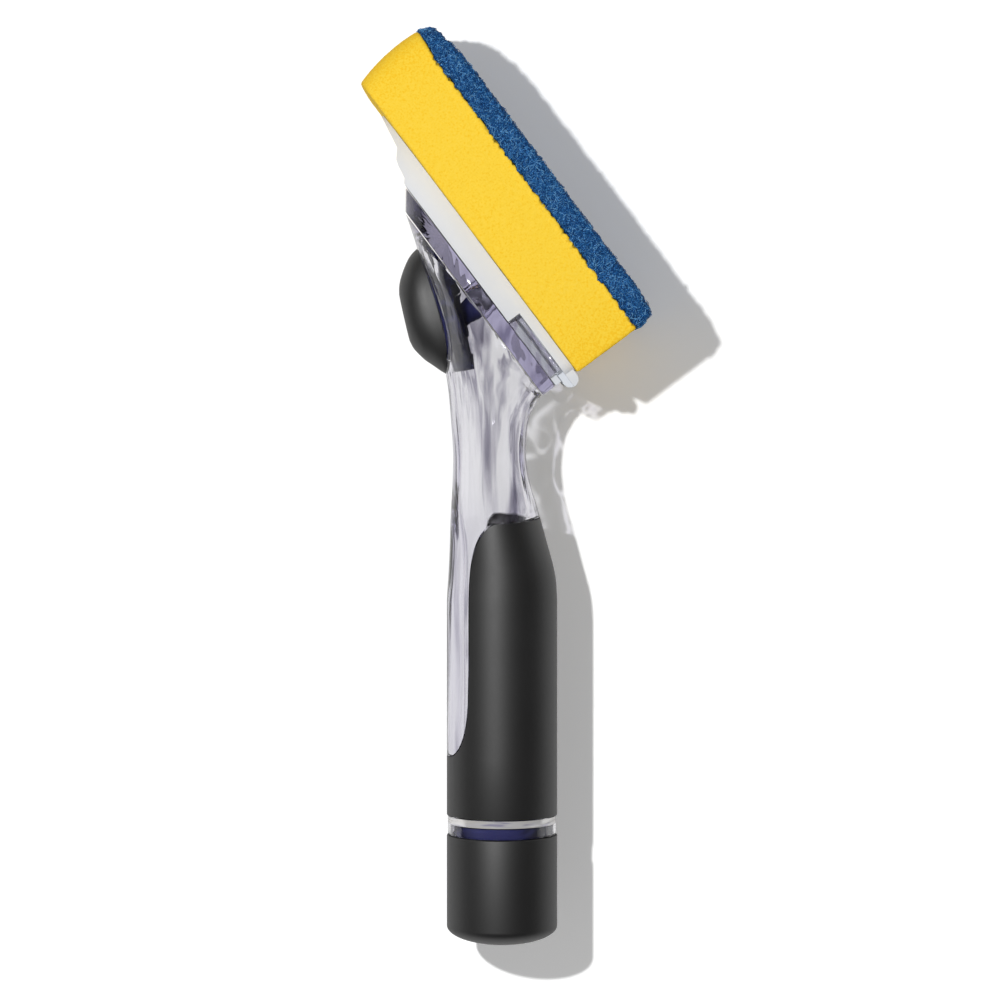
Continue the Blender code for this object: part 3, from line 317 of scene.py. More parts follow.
def ramp(tree, factor, stops):
    """Colours along a factor, in (place, colour) stops."""
    made = add_node(tree, "ShaderNodeValToRGB", {"Fac": factor})
    elements = made.color_ramp.elements
    while len(elements) < len(stops):
        elements.new(0.5)
    for element, (place, color) in zip(elements, stops):
        element.position = place
        element.color = (*color, 1.0)
    return made


def mixed_color(tree, factor, first, second):
    sockets = {"Factor": factor, MIX_FIRST: first, MIX_SECOND: second}
    return add_node(tree, "ShaderNodeMix", sockets, data_type="RGBA").outputs[MIX_RESULT]


def mixed_shader(tree, factor, first, second):
    return add_node(tree, "ShaderNodeMixShader", {"Fac": factor, 1: first, 2: second})


def new_material(name, color, roughness, **sockets):
    made = bpy.data.materials.new(name)
    made.use_nodes = True
    shader = made.node_tree.nodes["Principled BSDF"]
    shader.inputs["Base Color"].default_value = (*color, 1.0)
    shader.inputs["Roughness"].default_value = roughness
    for socket, value in sockets.items():
        shader.inputs[socket.replace("_", " ")].default_value = value
    made.diffuse_color = (*color, 1.0)
    return made


def show(made, source, socket):
    """Feeds one of the material's own sockets."""
    feed(made.node_tree, source, made.node_tree.nodes["Principled BSDF"].inputs[socket])


def own_place(made):
    """The object's own coordinates."""
    return add_node(made.node_tree, "ShaderNodeTexCoord").outputs["Object"]


def grain(made, scale, detail=3.0, stretch=(1, 1, 1)):
    """A noise on the object's own coordinates, in features to the metre."""
    where = add_node(made.node_tree, "ShaderNodeMapping", {"Vector": own_place(made), "Scale": stretch})
    sizes = {"Vector": where, "Scale": scale, "Detail": detail, "Roughness": 0.55}
    return add_node(made.node_tree, "ShaderNodeTexNoise", sizes)


def cells(made, scale):
    sizes = {"Vector": own_place(made), "Scale": scale, "Randomness": 1.0}
    return add_node(made.node_tree, "ShaderNodeTexVoronoi", sizes)


def tint(made, factor, stops):
    show(made, ramp(made.node_tree, factor, stops), "Base Color")


def vary(made, factor, low, high):
    show(made, spanned(made.node_tree, factor, To_Min=low, To_Max=high), "Roughness")


def relief(made, factor, distance, strength=1.0, below=None):
    sockets = {"Strength": strength, "Distance": distance, "Height": factor}
    if below:
        sockets["Normal"] = below
    bump = add_node(made.node_tree, "ShaderNodeBump", sockets)
    show(made, bump, "Normal")
    return bump


def mottled(name, color, roughness, tones, wide, fine, depth, strength, **sockets):
    """A plain material in two tones over a wide grain, with a fine grain in relief."""
    made = new_material(name, color, roughness, **sockets)
    tint(made, grain(made, wide), [(0.3, tones[0]), (0.7, tones[1])])
    relief(made, grain(made, fine), depth, strength)
    return made


def let_light_through(made, veil, line):
    """Lamps shine in through the front of a clear wall, and past its edge or a second wall lies a
    shadow with bright curling lines."""
    tree = made.node_tree
    path = add_node(tree, "ShaderNodeLightPath").outputs
    side = add_node(tree, "ShaderNodeNewGeometry").outputs
    where = own_place(made)
    curls = {"Vector": where, "Scale": CURLS_TO_THE_METRE, "Detail": 1.0}
    bent = calculate_vector(
        tree, "SCALE", add_node(tree, "ShaderNodeTexNoise", curls).outputs["Color"], CURL_REACH
    )
    cracks = {"Vector": calculate_vector(tree, "ADD", where, bent), "Scale": LINES_TO_THE_METRE}
    lines = add_node(tree, "ShaderNodeTexVoronoi", cracks, feature="DISTANCE_TO_EDGE")
    stops = ((0.0, line), (LINE_CORE, line), (LINE_EDGE, veil), (1.0, veil))
    shadow = ramp(tree, lines, stops)
    turned = add_node(tree, "ShaderNodeLayerWeight", {"Blend": 0.5}).outputs["Facing"]
    edge = spanned(tree, turned, From_Min=WALL_EDGE_START, From_Max=WALL_EDGE_END, To_Max=2.0)
    passed = calculate(tree, "ADD", path["Transparent Depth"], edge)
    walls = spanned(tree, passed, From_Max=2.0)
    entering = mixed_color(tree, walls, (*NEAR_WALL_LIGHT, 1.0), shadow)
    either_way = mixed_color(tree, side["Backfacing"], entering, (1.0, 1.0, 1.0, 1.0))
    clear = add_node(tree, "ShaderNodeBsdfTransparent", {"Color": either_way})
    surface = mixed_shader(tree, path["Is Shadow Ray"], tree.nodes["Principled BSDF"], clear)
    feed(tree, surface, tree.nodes["Material Output"].inputs["Surface"])


def deepen(made):
    """The clear plastic's faint violet, stronger the more of it the light passes."""
    tree = made.node_tree
    depth = {"Color": DEEP_VIOLET, "Density": VIOLET_DENSITY}
    tinted = add_node(tree, "ShaderNodeVolumeAbsorption", depth)
    feed(tree, tinted, tree.nodes["Material Output"].inputs["Volume"])


def end_shaded(made, factor, depth):
    """A factor that falls by depth towards the heel end and the toe end of the sponge."""
    tree = made.node_tree
    toward_toe = head_place.to_3x3() @ Vector((0, 1, 0))
    heel = head_place.translation.dot(toward_toe)
    along = calculate_vector(tree, "DOT_PRODUCT", own_place(made), toward_toe)
    ends = spanned(tree, along, From_Min=heel, From_Max=heel + SPONGE_LENGTH, To_Min=-1.0, To_Max=1.0)
    return calculate(tree, "MULTIPLY_ADD", calculate(tree, "POWER", ends, 6.0), -depth, factor)


black_soft = mottled(
    "black soft grip",
    (0.006, 0.006, 0.006),
    0.52,
    ((0.005, 0.005, 0.005), (0.0075, 0.0075, 0.0077)),
    wide=60,
    fine=4500,
    depth=0.00003,
    strength=0.5,
    Specular_IOR_Level=1.0,
)
vary(black_soft, grain(black_soft, 900), 0.49, 0.56)

clear_plastic = new_material(
    "clear plastic", (0.89, 0.89, 0.905), 0.03, Transmission_Weight=1.0, IOR=1.5
)
long_waves = relief(clear_plastic, grain(clear_plastic, 90, 1.0, (1.0, 0.25, 1.0)), 0.0022, 0.6)
relief(clear_plastic, grain(clear_plastic, 320, 1.0, (1.0, 0.12, 1.0)), 0.0003, 0.5, below=long_waves)
# The dark and pale streaks in the clear plastic's colour are painted shade and painted highlight: they stand
# in for the dark and bright lines that refraction draws in the clear walls.
tint(
    clear_plastic,
    grain(clear_plastic, 150, 2.0, (1.0, 0.10, 1.0)),
    [
        (0.34, (0.24, 0.23, 0.29)),
        (0.41, (0.72, 0.71, 0.75)),
        (0.46, (0.95, 0.95, 0.95)),
        (0.70, (0.98, 0.98, 0.98)),
    ],
)
let_light_through(clear_plastic, (0.06, 0.06, 0.06), (0.60, 0.60, 0.60))
deepen(clear_plastic)

# The lugs' violet is the clear plastic's own tint, laid on their surface; their dark and pale streaks are
# painted shade and painted highlight, standing in for the lines that refraction draws in the thin lug walls.
lug_plastic = new_material(
    "clear plastic of the lugs", (0.62, 0.60, 0.70), 0.05, Transmission_Weight=1.0, IOR=1.5
)
tint(
    lug_plastic,
    grain(lug_plastic, 260, 3.0, (1.0, 0.4, 1.0)),
    [(0.40, (0.46, 0.40, 0.56)), (0.50, (0.66, 0.60, 0.74)), (0.56, (0.94, 0.92, 0.96))],
)
relief(lug_plastic, grain(lug_plastic, 320, 1.0), 0.0004, 0.5)
let_light_through(lug_plastic, (0.07, 0.07, 0.07), (0.55, 0.55, 0.55))

# The collar band's whiter, cloudy colour with violet and cream patches is painted highlight and painted
# reflection: it stands in for the bright ring that light draws in the clear wall between cap and grip.
collar_band_highlight = new_material(
    "collar band with painted highlight", (0.95, 0.93, 0.94), 0.16, Transmission_Weight=0.6, IOR=1.5
)
tint(
    collar_band_highlight,
    grain(collar_band_highlight, 170, 2.0, (0.6, 5.0, 0.6)),
    [(0.35, (0.60, 0.58, 0.74)), (0.47, (1.0, 0.99, 1.0)), (0.7, (1.0, 0.97, 0.93))],
)

navy_plastic = mottled(
    "navy plastic",
    (0.028, 0.030, 0.110),
    0.6,
    ((0.025, 0.027, 0.100), (0.031, 0.033, 0.120)),
    wide=120,
    fine=1800,
    depth=0.00002,
    strength=0.4,
    Specular_IOR_Level=0.08,
)
navy_soft = mottled(
    "navy soft gasket",
    (0.034, 0.036, 0.140),
    0.6,
    ((0.031, 0.033, 0.130), (0.037, 0.039, 0.150)),
    wide=150,
    fine=2500,
    depth=0.00002,
    strength=0.4,
    Specular_IOR_Level=0.1,
)
milky_plastic = mottled(
    "milky plastic",
    (0.64, 0.665, 0.71),
    0.62,
    ((0.63, 0.655, 0.70), (0.65, 0.675, 0.72)),
    wide=40,
    fine=1500,
    depth=0.00002,
    strength=0.3,
)
silicone = mottled(
    "cloudy silicone",
    (0.80, 0.80, 0.84),
    0.4,
    ((0.77, 0.77, 0.81), (0.83, 0.83, 0.87)),
    wide=200,
    fine=2500,
    depth=0.00002,
    strength=0.3,
    Transmission_Weight=0.5,
    IOR=1.42,
)

yellow_foam = new_material("yellow foam", (0.98, 0.64, 0.03), 0.95, Specular_IOR_Level=0.2)
tint(
    yellow_foam,
    end_shaded(yellow_foam, grain(yellow_foam, 1700, 4.0), 0.12),
    [(0.32, (0.87, 0.52, 0.020)), (0.45, (0.90, 0.60, 0.040)), (0.75, (0.92, 0.635, 0.065))],
)
foam_cells = relief(yellow_foam, cells(yellow_foam, 2200), 0.00015, 0.35)
relief(yellow_foam, grain(yellow_foam, 900, 4.0), 0.0002, 0.3, below=foam_cells)

blue_fibre = new_material("blue scouring fibre", (0.008, 0.05, 0.18), 0.7, Specular_IOR_Level=0.15)
fibre_tree = blue_fibre.node_tree
strand_shade = add_node(fibre_tree, "ShaderNodeAttribute", attribute_name="strand_shade")
specks = spanned(fibre_tree, grain(blue_fibre, 3000, 2.0), From_Min=0.46, From_Max=0.68, To_Max=1.0)
tint(
    blue_fibre,
    calculate(fibre_tree, "MAXIMUM", specks, strand_shade.outputs["Fac"]),
    [
        (0.00, (0.003, 0.025, 0.090)),
        (0.40, (0.006, 0.075, 0.260)),
        (0.75, (0.040, 0.200, 0.480)),
        (1.00, (0.200, 0.450, 0.720)),
    ],
)
relief(blue_fibre, grain(blue_fibre, 3000), 0.00005, 0.4)

spring_steel = new_material("spring steel", (0.56, 0.57, 0.58), 0.25, Metallic=1.0)
vary(spring_steel, grain(spring_steel, 1200, 2.0), 0.2, 0.36)

SLOTS = {
    "black_soft": black_soft,
    "clear_plastic": clear_plastic,
    "navy_plastic": navy_plastic,
    "navy_gasket": navy_soft,
    "milky_plastic": milky_plastic,
    "yellow_foam": yellow_foam,
    "blue_fibre": blue_fibre,
    "silicone": silicone,
    "spring_steel": spring_steel,
}
node_slots = {row["node"]: row["material_slot"] for row in frame["record"]["subparts"]}
node_bodies = {
    node: body for body, members in frame["record"]["behaviour"]["bodies"].items() for node in members
}


# ---------------------------------------------------------------- mesh helpers


def new_object(name, mesh):
    made = bpy.data.objects.new(name, mesh)
    bpy.context.scene.collection.objects.link(made)
    return made


def loft(name, rings, place):
    """A closed solid through rings of the same number of points, capped at both ends."""
    mesh = bpy.data.meshes.new(name)
    skin = bmesh.new()
    rows = [[skin.verts.new(place @ Vector(point)) for point in ring] for ring in rings]
    count = len(rings[0])
    for low, high in zip(rows, rows[1:]):
        for k in range(count):
            following = (k + 1) % count
            skin.faces.new((low[k], low[following], high[following], high[k]))
    skin.faces.new(rows[0][::-1])
    skin.faces.new(rows[-1])
    bmesh.ops.recalc_face_normals(skin, faces=skin.faces)
    skin.to_mesh(mesh)
    skin.free()
    return new_object(name, mesh)


def prism(name, outline, low, high, place):
    return loft(name, [[(x, y, z) for x, y in outline] for z in (low, high)], place)


def rectangle(low_x, low_y, high_x, high_y):
    return [(low_x, low_y), (high_x, low_y), (high_x, high_y), (low_x, high_y)]


def arc(center, radius, start, end, steps):
    return [
        (
            center[0] + radius * math.cos(start + (end - start) * k / steps),
            center[1] + radius * math.sin(start + (end - start) * k / steps),
        )
        for k in range(steps + 1)
    ]


def signed_power(value, power):
    return math.copysign(abs(value) ** power, value)


def clipped(share):
    return min(1, max(0, share))


def smooth_step(share):
    share = clipped(share)
    return share**2 * (3 - 2 * share)


def smooth_share(value, low, high):
    return smooth_step((value - low) / (high - low))


def eased(t, start, end, leave, reach):
    """The value at t on a smooth curve from start to end, with its slopes there."""
    return (
        (2 * t**3 - 3 * t**2 + 1) * start
        + (t**3 - 2 * t**2 + t) * leave
        + (3 * t**2 - 2 * t**3) * end
        + (t**3 - t**2) * reach
    )


def finished(made):
    """The object with its modifiers made part of its mesh."""
    bpy.context.view_layer.update()
    graph = bpy.context.evaluated_depsgraph_get()
    mesh = bpy.data.meshes.new_from_object(made.evaluated_get(graph))
    made.modifiers.clear()
    made.data = mesh
    return made


def carve(made, cutters):
    """Cuts all the cutters out of a piece, and removes them."""
    for cutter in cutters:
        cut = made.modifiers.new("cut", "BOOLEAN")
        cut.operation = "DIFFERENCE"
        cut.solver = "EXACT"
        cut.object = cutter
    finished(made)
    for cutter in cutters:
        bpy.data.objects.remove(cutter, do_unlink=True)


def round_edges(made, width, steps, angle):
    """Rounds the edges that turn by more than an angle, in degrees."""
    bevel = made.modifiers.new("rounded edges", "BEVEL")
    bevel.width = width
    bevel.segments = steps
    bevel.limit_method = "ANGLE"
    bevel.angle_limit = math.radians(angle)


def shade(made, angle=32):
    """Smooth shading, but for the edges that turn by more than an angle, in degrees."""
    made.data.shade_smooth()
    made.data.set_sharp_from_angle(angle=math.radians(angle))
    return made


def paint(made, material, place, chosen):
    """Gives a second material to the faces whose middles, as seen from a place, are chosen."""
    made.data.materials.append(material)
    to_place = place.inverted()
    for face in made.data.polygons:
        if chosen(to_place @ face.center):
            face.material_index = 1
    return made


def dress(made, node):
    """Stands the piece in for its CAD node: hides the node and gives the piece the material of the node's
    slot and, unless it bends between two bodies, the node's body.
    """
    made.data.materials.clear()
    made.data.materials.append(SLOTS[node_slots[node]])
    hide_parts(node)
    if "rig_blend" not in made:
        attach(made, node_bodies[node])
    return made


def softened(node, width):
    """A copy of a CAD node with its triangles joined into faces and its edges rounded."""
    body = bmesh.new()
    body.from_mesh(cad_nodes[node].data)
    bmesh.ops.remove_doubles(body, verts=body.verts, dist=WELD)
    bmesh.ops.dissolve_limit(
        body,
        angle_limit=FLAT_ENOUGH,
        verts=body.verts,
        edges=body.edges,
        use_dissolve_boundaries=False,
    )
    mesh = bpy.data.meshes.new(f"{node}_form")
    body.to_mesh(mesh)
    body.free()
    made = new_object(f"{node}_form", mesh)
    round_edges(made, width, 2, 30)
    return shade(finished(made))


# ---------------------------------------------------------------- neck and handle


def neck_stations():
    """Rows of (back x, back z, heel x, heel z, half width, power) up the neck, as in the CAD part."""
    toe, heel = head_point(NECK_FOOT_LENGTH, 0), head_point(0, 0)
    rows = [(-HANDLE_RADIUS, NECK_START, HANDLE_RADIUS, NECK_START, HANDLE_RADIUS, ROUND_POWER)]
    for back_run, back_shift, heel_run, heel_shift, growth, squareness in NECK_SHARES:
        rows.append(
            (
                -HANDLE_RADIUS + back_shift * (toe.x + HANDLE_RADIUS),
                NECK_START + back_run * (toe.z - NECK_START),
                HANDLE_RADIUS + heel_shift * (heel.x - HANDLE_RADIUS),
                NECK_START + heel_run * (heel.z - NECK_START),
                HANDLE_RADIUS + growth * (NECK_FOOT_HALF_WIDTH - HANDLE_RADIUS),
                ROUND_POWER + squareness * (FOOT_POWER - ROUND_POWER),
            )
        )
    return np.array(rows)


def smooth_stations():
    """The same rows with smooth curves between them."""
    rows = neck_stations()
    below = rows[0] - np.array((0, LEAD_IN, 0, LEAD_IN, 0, 0))
    rows = np.vstack((below, rows, 2 * rows[-1] - rows[-2]))
    run = np.hypot(np.diff(rows[:, 0]), np.diff(rows[:, 1]))
    smooth = []
    for k in range(1, len(rows) - 2):
        before, here, after = run[k - 1 : k + 2]
        last, start, end, following = rows[k - 1 : k + 3]
        slope = (end - start) / here
        leave = here * ((start - last) / before - (end - last) / (before + here) + slope)
        reach = here * (slope - (following - start) / (here + after) + (following - end) / after)
        for step in range(STATION_STEPS):
            smooth.append(eased(step / STATION_STEPS, start, end, leave, reach))
    smooth.append(rows[-2])
    return [
        (Vector((row[0], 0, row[1])), Vector((row[2], 0, row[3])), float(row[4]), float(row[5]))
        for row in smooth
    ]


stations = smooth_stations()


def inset_station(k, inset):
    """One of the stations moved in by inset, measured square to the surface."""
    before, after = stations[max(k - 1, 0)], stations[min(k + 1, len(stations) - 1)]
    back, heel, half_width, power = stations[k]
    inward = (heel - back).normalized()
    back_step = inset / abs((after[0] - before[0]).normalized().cross(inward).y)
    heel_step = inset / abs((after[1] - before[1]).normalized().cross(inward).y)
    return (back + inward * back_step, heel - inward * heel_step, half_width - inset, power)


def section_ring(station):
    back, heel, half_width, power = station
    middle, half = (back + heel) / 2, (heel - back) / 2
    ring = []
    for k in range(SECTION_POINTS):
        turn = 2 * math.pi * k / SECTION_POINTS
        lengthwise = signed_power(math.cos(turn), 2 / power)
        crosswise = signed_power(math.sin(turn), 2 / power)
        ring.append(middle + half * lengthwise + Vector((0, half_width * crosswise, 0)))
    return ring


def round_ring(radius, height):
    circle = arc((0, 0), radius, 0, 2 * math.pi, SECTION_POINTS)
    return [Vector((x, y, height)) for x, y in circle[:-1]]


def neck_solid(name, inset):
    below = round_ring(HANDLE_RADIUS - inset, NECK_START - HANDLE_RADIUS)
    rings = [section_ring(inset_station(k, inset)) for k in range(len(stations))]
    return loft(name, [below, *rings], handle_place)


def back_point(share):
    """The point on the neck's back edge at a share of its run, on the CAD part's straight pieces."""
    rows = neck_stations()
    height = rows[0][1] + share * (rows[-1][1] - rows[0][1])
    x = np.interp(height, rows[:, 1], rows[:, 0])
    return Vector((float(x), 0, float(height)))


button_center = back_point(BUTTON_PLACE_SHARE)
half_share = BUTTON_LENGTH / 2 / (head_point(NECK_FOOT_LENGTH, 0).z - NECK_START)
button_toe = back_point(BUTTON_PLACE_SHARE + half_share)
button_heel = back_point(BUTTON_PLACE_SHARE - half_share)
button_along = (button_toe - button_heel).normalized()
button_out = Vector((-button_along.z, 0, button_along.x))
button_place = handle_place @ place_at(button_center, button_along, button_out)
pump_center = button_center + PUMP_OFFSET * button_along
pump_place = handle_place @ place_at(pump_center, button_along, button_out)


def handle_surface(height, angle):
    """A point of the handle's surface at an angle from the window's middle line."""
    back_x, heel_x, half_width = -HANDLE_RADIUS, HANDLE_RADIUS, HANDLE_RADIUS
    for before, after in zip(stations, stations[1:]):
        if before[0].z <= height <= after[0].z:
            share = (height - before[0].z) / (after[0].z - before[0].z)
            back_x = before[0].x + share * (after[0].x - before[0].x)
            heel_x = before[1].x + share * (after[1].x - before[1].x)
            half_width = before[2] + share * (after[2] - before[2])
    middle, half = (back_x + heel_x) / 2, (heel_x - back_x) / 2
    return Vector((middle - half * math.cos(angle), half_width * math.sin(angle), height))


def window_end(share, gap):
    """The height of the window's blunt low end, at a share of its half angle."""
    return WINDOW_BOTTOM + gap + WINDOW_END_LENGTH * (1 - (1 - share**4) ** (1 / 3))


def grip_rows(gap):
    """(height, angle of the window's edge, share of the top edge's tilt), from the foot upwards."""
    half_angle = WINDOW_HALF_ANGLE - gap / HANDLE_RADIUS
    rows = [(GRIP_BOTTOM - gap, half_angle * WINDOW_END_SHARES[0], 0.0)]
    for share in WINDOW_END_SHARES:
        rows.append((window_end(share, gap), half_angle * share, 0.0))
    corner_angle = WINDOW_CORNER_ANGLE - gap / HANDLE_RADIUS
    corner_start = GRIP_TOP - WINDOW_CORNER_LENGTH
    side_start = rows[-1][0]
    for k in range(1, WINDOW_SIDE_ROWS):
        height = side_start + (corner_start - side_start) * k / WINDOW_SIDE_ROWS
        rows.append((height, half_angle, 0.0))
    for k in range(WINDOW_CORNER_STEPS + 1):
        turn = math.pi / 2 * k / WINDOW_CORNER_STEPS
        height = corner_start + (WINDOW_CORNER_LENGTH + gap) * math.sin(turn)
        angle = corner_angle - (corner_angle - half_angle) * math.cos(turn)
        rows.append((height, angle, k / WINDOW_CORNER_STEPS))
    return rows


def grip_skin(name, gap, outwards, inwards):
    """The sleeve's outer face as a sheet, grown at its edges by gap and thickened both ways."""
    mesh = bpy.data.meshes.new(name)
    skin = bmesh.new()
    rows = grip_rows(gap)
    grid = []
    for height, edge, tilt in rows:
        row = []
        for k in range(GRIP_COLUMNS + 1):
            angle = edge + (2 * math.pi - 2 * edge) * k / GRIP_COLUMNS
            from_edge = 1 - abs(angle - math.pi) / (math.pi - edge)
            level = height + tilt * GRIP_TOP_RISE * from_edge
            row.append(skin.verts.new(handle_surface(level, angle)))
        grid.append(row)
    for low, high in zip(grid, grid[1:]):
        for k in range(GRIP_COLUMNS):
            skin.faces.new((low[k], low[k + 1], high[k + 1], high[k]))
    foot, edge, _ = rows[0]
    front = []
    for k in range(GRIP_FRONT_COLUMNS + 1):
        side_share = 2 * k / GRIP_FRONT_COLUMNS - 1
        ends = (foot, window_end(abs(side_share) * WINDOW_END_SHARES[0], gap))
        front.append([skin.verts.new(handle_surface(height, edge * side_share)) for height in ends])
    for (low, high), (next_low, next_high) in zip(front, front[1:]):
        skin.faces.new((low, next_low, next_high, high))
    bmesh.ops.remove_doubles(skin, verts=skin.verts, dist=WELD)
    bmesh.ops.recalc_face_normals(skin, faces=skin.faces)
    back = max(skin.faces, key=lambda face: face.calc_center_median().x)
    if back.normal.x < 0:
        bmesh.ops.reverse_faces(skin, faces=skin.faces)
    bmesh.ops.transform(skin, matrix=handle_place, verts=skin.verts)
    skin.to_mesh(mesh)
    skin.free()
    made = new_object(name, mesh)
    wall = made.modifiers.new("wall", "SOLIDIFY")
    wall.thickness = outwards + inwards
    wall.offset = (outwards - inwards) / (outwards + inwards)
    return finished(made)


def button_outline(half_width, half_length, middle=0.0):
    """The button's blunt oval, with its middle moved towards the toe."""
    points = []
    for k in range(BUTTON_POINTS):
        turn = 2 * math.pi * k / BUTTON_POINTS
        x = half_width * signed_power(math.cos(turn), 2 / BUTTON_POWER)
        y = middle + half_length * signed_power(math.sin(turn), 2 / BUTTON_POWER)
        points.append((x, y))
    return points


def thread_groove():
    """The cap thread's groove: a trapezium section along a right-hand helix about z."""
    root, tip = BORE_RADIUS - THREAD_ROOT, BORE_RADIUS + THREAD_HEIGHT
    foot = THREAD_WIDTH / 2 + THREAD_CLEARANCE
    crest = THREAD_WIDTH * THREAD_TIP_SHARE / 2 + THREAD_CLEARANCE
    section = ((root, -foot), (tip, -crest), (tip, crest), (root, foot))
    start = GASKET_SEAT_TOP - THREAD_WIDTH / 2 - THREAD_CLEARANCE
    bare_turns = THREAD_TURNS + (SHELL_BOTTOM + THREAD_START - start) / THREAD_PITCH
    turned_back = bare_turns - THREAD_TURNS
    turns = bare_turns + THREAD_CLEARANCE / (2 * math.pi * BORE_RADIUS)
    steps = math.ceil(turns * SECTION_POINTS)
    rings = []
    for k in range(steps + 1):
        turn = 2 * math.pi * (turns * k / steps - turned_back)
        height = start + THREAD_PITCH * turns * k / steps
        outward = Vector((math.cos(turn), math.sin(turn), 0))
        rings.append([outward * radius + Vector((0, 0, height + rise)) for radius, rise in section])
    return loft("thread_groove", rings, handle_place)


def soap_space():
    """The hollow of the handle and the neck, out through the neck's foot, with its change of wall."""
    handle_wall = HANDLE_RADIUS - BORE_RADIUS
    change_start = neck_stations()[2][1]
    inside = []
    for k, (back, *_) in enumerate(stations):
        changed = smooth_step((back.z - change_start) / WALL_CHANGE_LENGTH)
        inside.append(inset_station(k, handle_wall + (NECK_WALL - handle_wall) * changed))
    back, heel, half_width, power = inside[-1]
    past = SCOUR_NORMAL * OVERRUN
    inside.append((back + past, heel + past, half_width, power))
    bore_heights = (SHELL_BOTTOM - OVERRUN, (SHELL_BOTTOM + NECK_START) / 2)
    bore = [round_ring(BORE_RADIUS, height) for height in bore_heights]
    return loft("soap_space", [*bore, *map(section_ring, inside)], handle_place)


def make_clear_body():
    collar = HANDLE_RADIUS - COLLAR_STEP
    low = [
        round_ring(collar - SOFT_EDGE, SHELL_BOTTOM),
        round_ring(collar, SHELL_BOTTOM + SOFT_EDGE),
        round_ring(collar, GASKET_SEAT_TOP),
        round_ring(collar, GRIP_BOTTOM),
        round_ring(HANDLE_RADIUS, GRIP_BOTTOM + GRIP_THICKNESS),
        round_ring(HANDLE_RADIUS, (GRIP_BOTTOM + NECK_START) / 2),
    ]
    shell = loft("clear_handle", [*low, *map(section_ring, stations)], handle_place)
    recess = grip_skin("grip_recess", FIT_GAP, OVERRUN, GRIP_THICKNESS + FIT_GAP)
    seat_radius = BORE_RADIUS + GASKET_WIDTH + FIT_GAP
    seat_heights = (SHELL_BOTTOM - OVERRUN, GASKET_SEAT_TOP)
    seat_rings = [round_ring(seat_radius, height) for height in seat_heights]
    seat = loft("gasket_seat", seat_rings, handle_place)
    opening_outline = button_outline(BUTTON_WIDTH / 2 + FIT_GAP, BUTTON_LENGTH / 2 + FIT_GAP)
    opening_low = -PUMP_FLOOR_DEPTH - PUMP_WALL - FIT_GAP
    opening = prism("button_opening", opening_outline, opening_low, BUTTON_HEIGHT, button_place)
    carve(shell, [recess, soap_space(), seat, thread_groove(), opening])

    def on_band(point):
        outside = math.hypot(point.x, point.y) > collar - SOFT_EDGE
        return outside and GASKET_SEAT_TOP < point.z < GRIP_BOTTOM

    dress(shade(shell), "handle_shell")
    # The band between the cap and the grip takes the painted highlight.
    return paint(shell, collar_band_highlight, handle_place, on_band)


def make_head_plate():
    plate = dress(softened("head_plate", PLATE_EDGE), "head_plate")
    return paint(plate, lug_plastic, head_place, lambda point: point.z > PLATE_THICKNESS)


def make_grip():
    grip = grip_skin("soft_grip", 0, 0, GRIP_THICKNESS)
    round_edges(grip, SOFT_EDGE, 3, 50)
    return dress(shade(finished(grip)), "grip_sleeve")


# ---------------------------------------------------------------- button


def curve_through(values, steps):
    """Smooth values in so many steps from each to the next, with slopes taken from the neighbours."""
    slopes = np.gradient(values)
    places = np.linspace(0, len(values) - 1, (len(values) - 1) * steps + 1)
    k = np.minimum(places.astype(int), len(values) - 2)
    return eased(places - k, values[k], values[k + 1], slopes[k], slopes[k + 1])


def dome_rings(side_inset, end_inset, top_inset, bottom):
    """Rings of the dome moved in from its face, down to the height bottom."""
    smooth = [curve_through(column, BUTTON_STEPS) for column in np.array(BUTTON_SHARES).T]
    toe_end = BUTTON_LENGTH / 2
    foot = button_outline(BUTTON_WIDTH / 2 - side_inset, toe_end - end_inset)
    rings = [[(x, y, bottom) for x, y in foot]]
    for height, toe_share, low_share, width_share in zip(*smooth):
        toe = toe_end - toe_share * BUTTON_LENGTH - end_inset
        low = toe_end - low_share * BUTTON_LENGTH + end_inset * (1 - height / 2)
        half_width = max(width_share * BUTTON_WIDTH / 2 - side_inset, side_inset / 2)
        level = height * (BUTTON_HEIGHT - top_inset)
        outline = button_outline(half_width, (toe - low) / 2, (toe + low) / 2)
        rings.append([(x, y, level) for x, y in outline])
    return rings


def crowned(rings, rise):
    """The rings with a low crown over the last of them in place of a flat top."""
    top = np.array(rings[-1])
    middle = top.mean(axis=0)
    crown = []
    for k in range(1, CROWN_STEPS):
        turn = math.pi / 2 * (k / CROWN_STEPS)
        ring = middle + (top - middle) * math.cos(turn)
        ring[:, 2] = top[0, 2] + rise * math.sin(turn)
        crown.append([tuple(point) for point in ring])
    return [*rings, *crown]


def make_button():
    crown_rise = BUTTON_HEIGHT * (1 - BUTTON_SHARES[-1][0])
    outer = crowned(dome_rings(0, 0, 0, -BUTTON_SKIRT), crown_rise)
    cover = loft("button_dome", outer, button_place)
    inner = dome_rings(BUTTON_SKIN, BUTTON_END_SKIN, BUTTON_SKIN, -BUTTON_SKIRT - OVERRUN)
    hollow = loft("dome_hollow", inner, button_place)
    reach = NECK_FOOT_LENGTH
    head_area = rectangle(-reach, -reach, reach, 2 * reach)
    head_side = prism("head_side", head_area, -FIT_GAP, reach, head_place)
    carve(cover, [neck_solid("dome_seat", BUTTON_FOOT), head_side, hollow])
    shade(cover, 50)
    base = button_place @ Vector((0, 0, 0))
    top = button_place @ Vector((0, 0, DOME_BLEND_HEIGHT))
    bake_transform(cover, "handle", "button", start=base, end=top)
    return dress(cover, "button_cover")


# ---------------------------------------------------------------- geometry node trees


SOCKET_KINDS = {float: "NodeSocketFloat", int: "NodeSocketInt", tuple: "NodeSocketVector"}


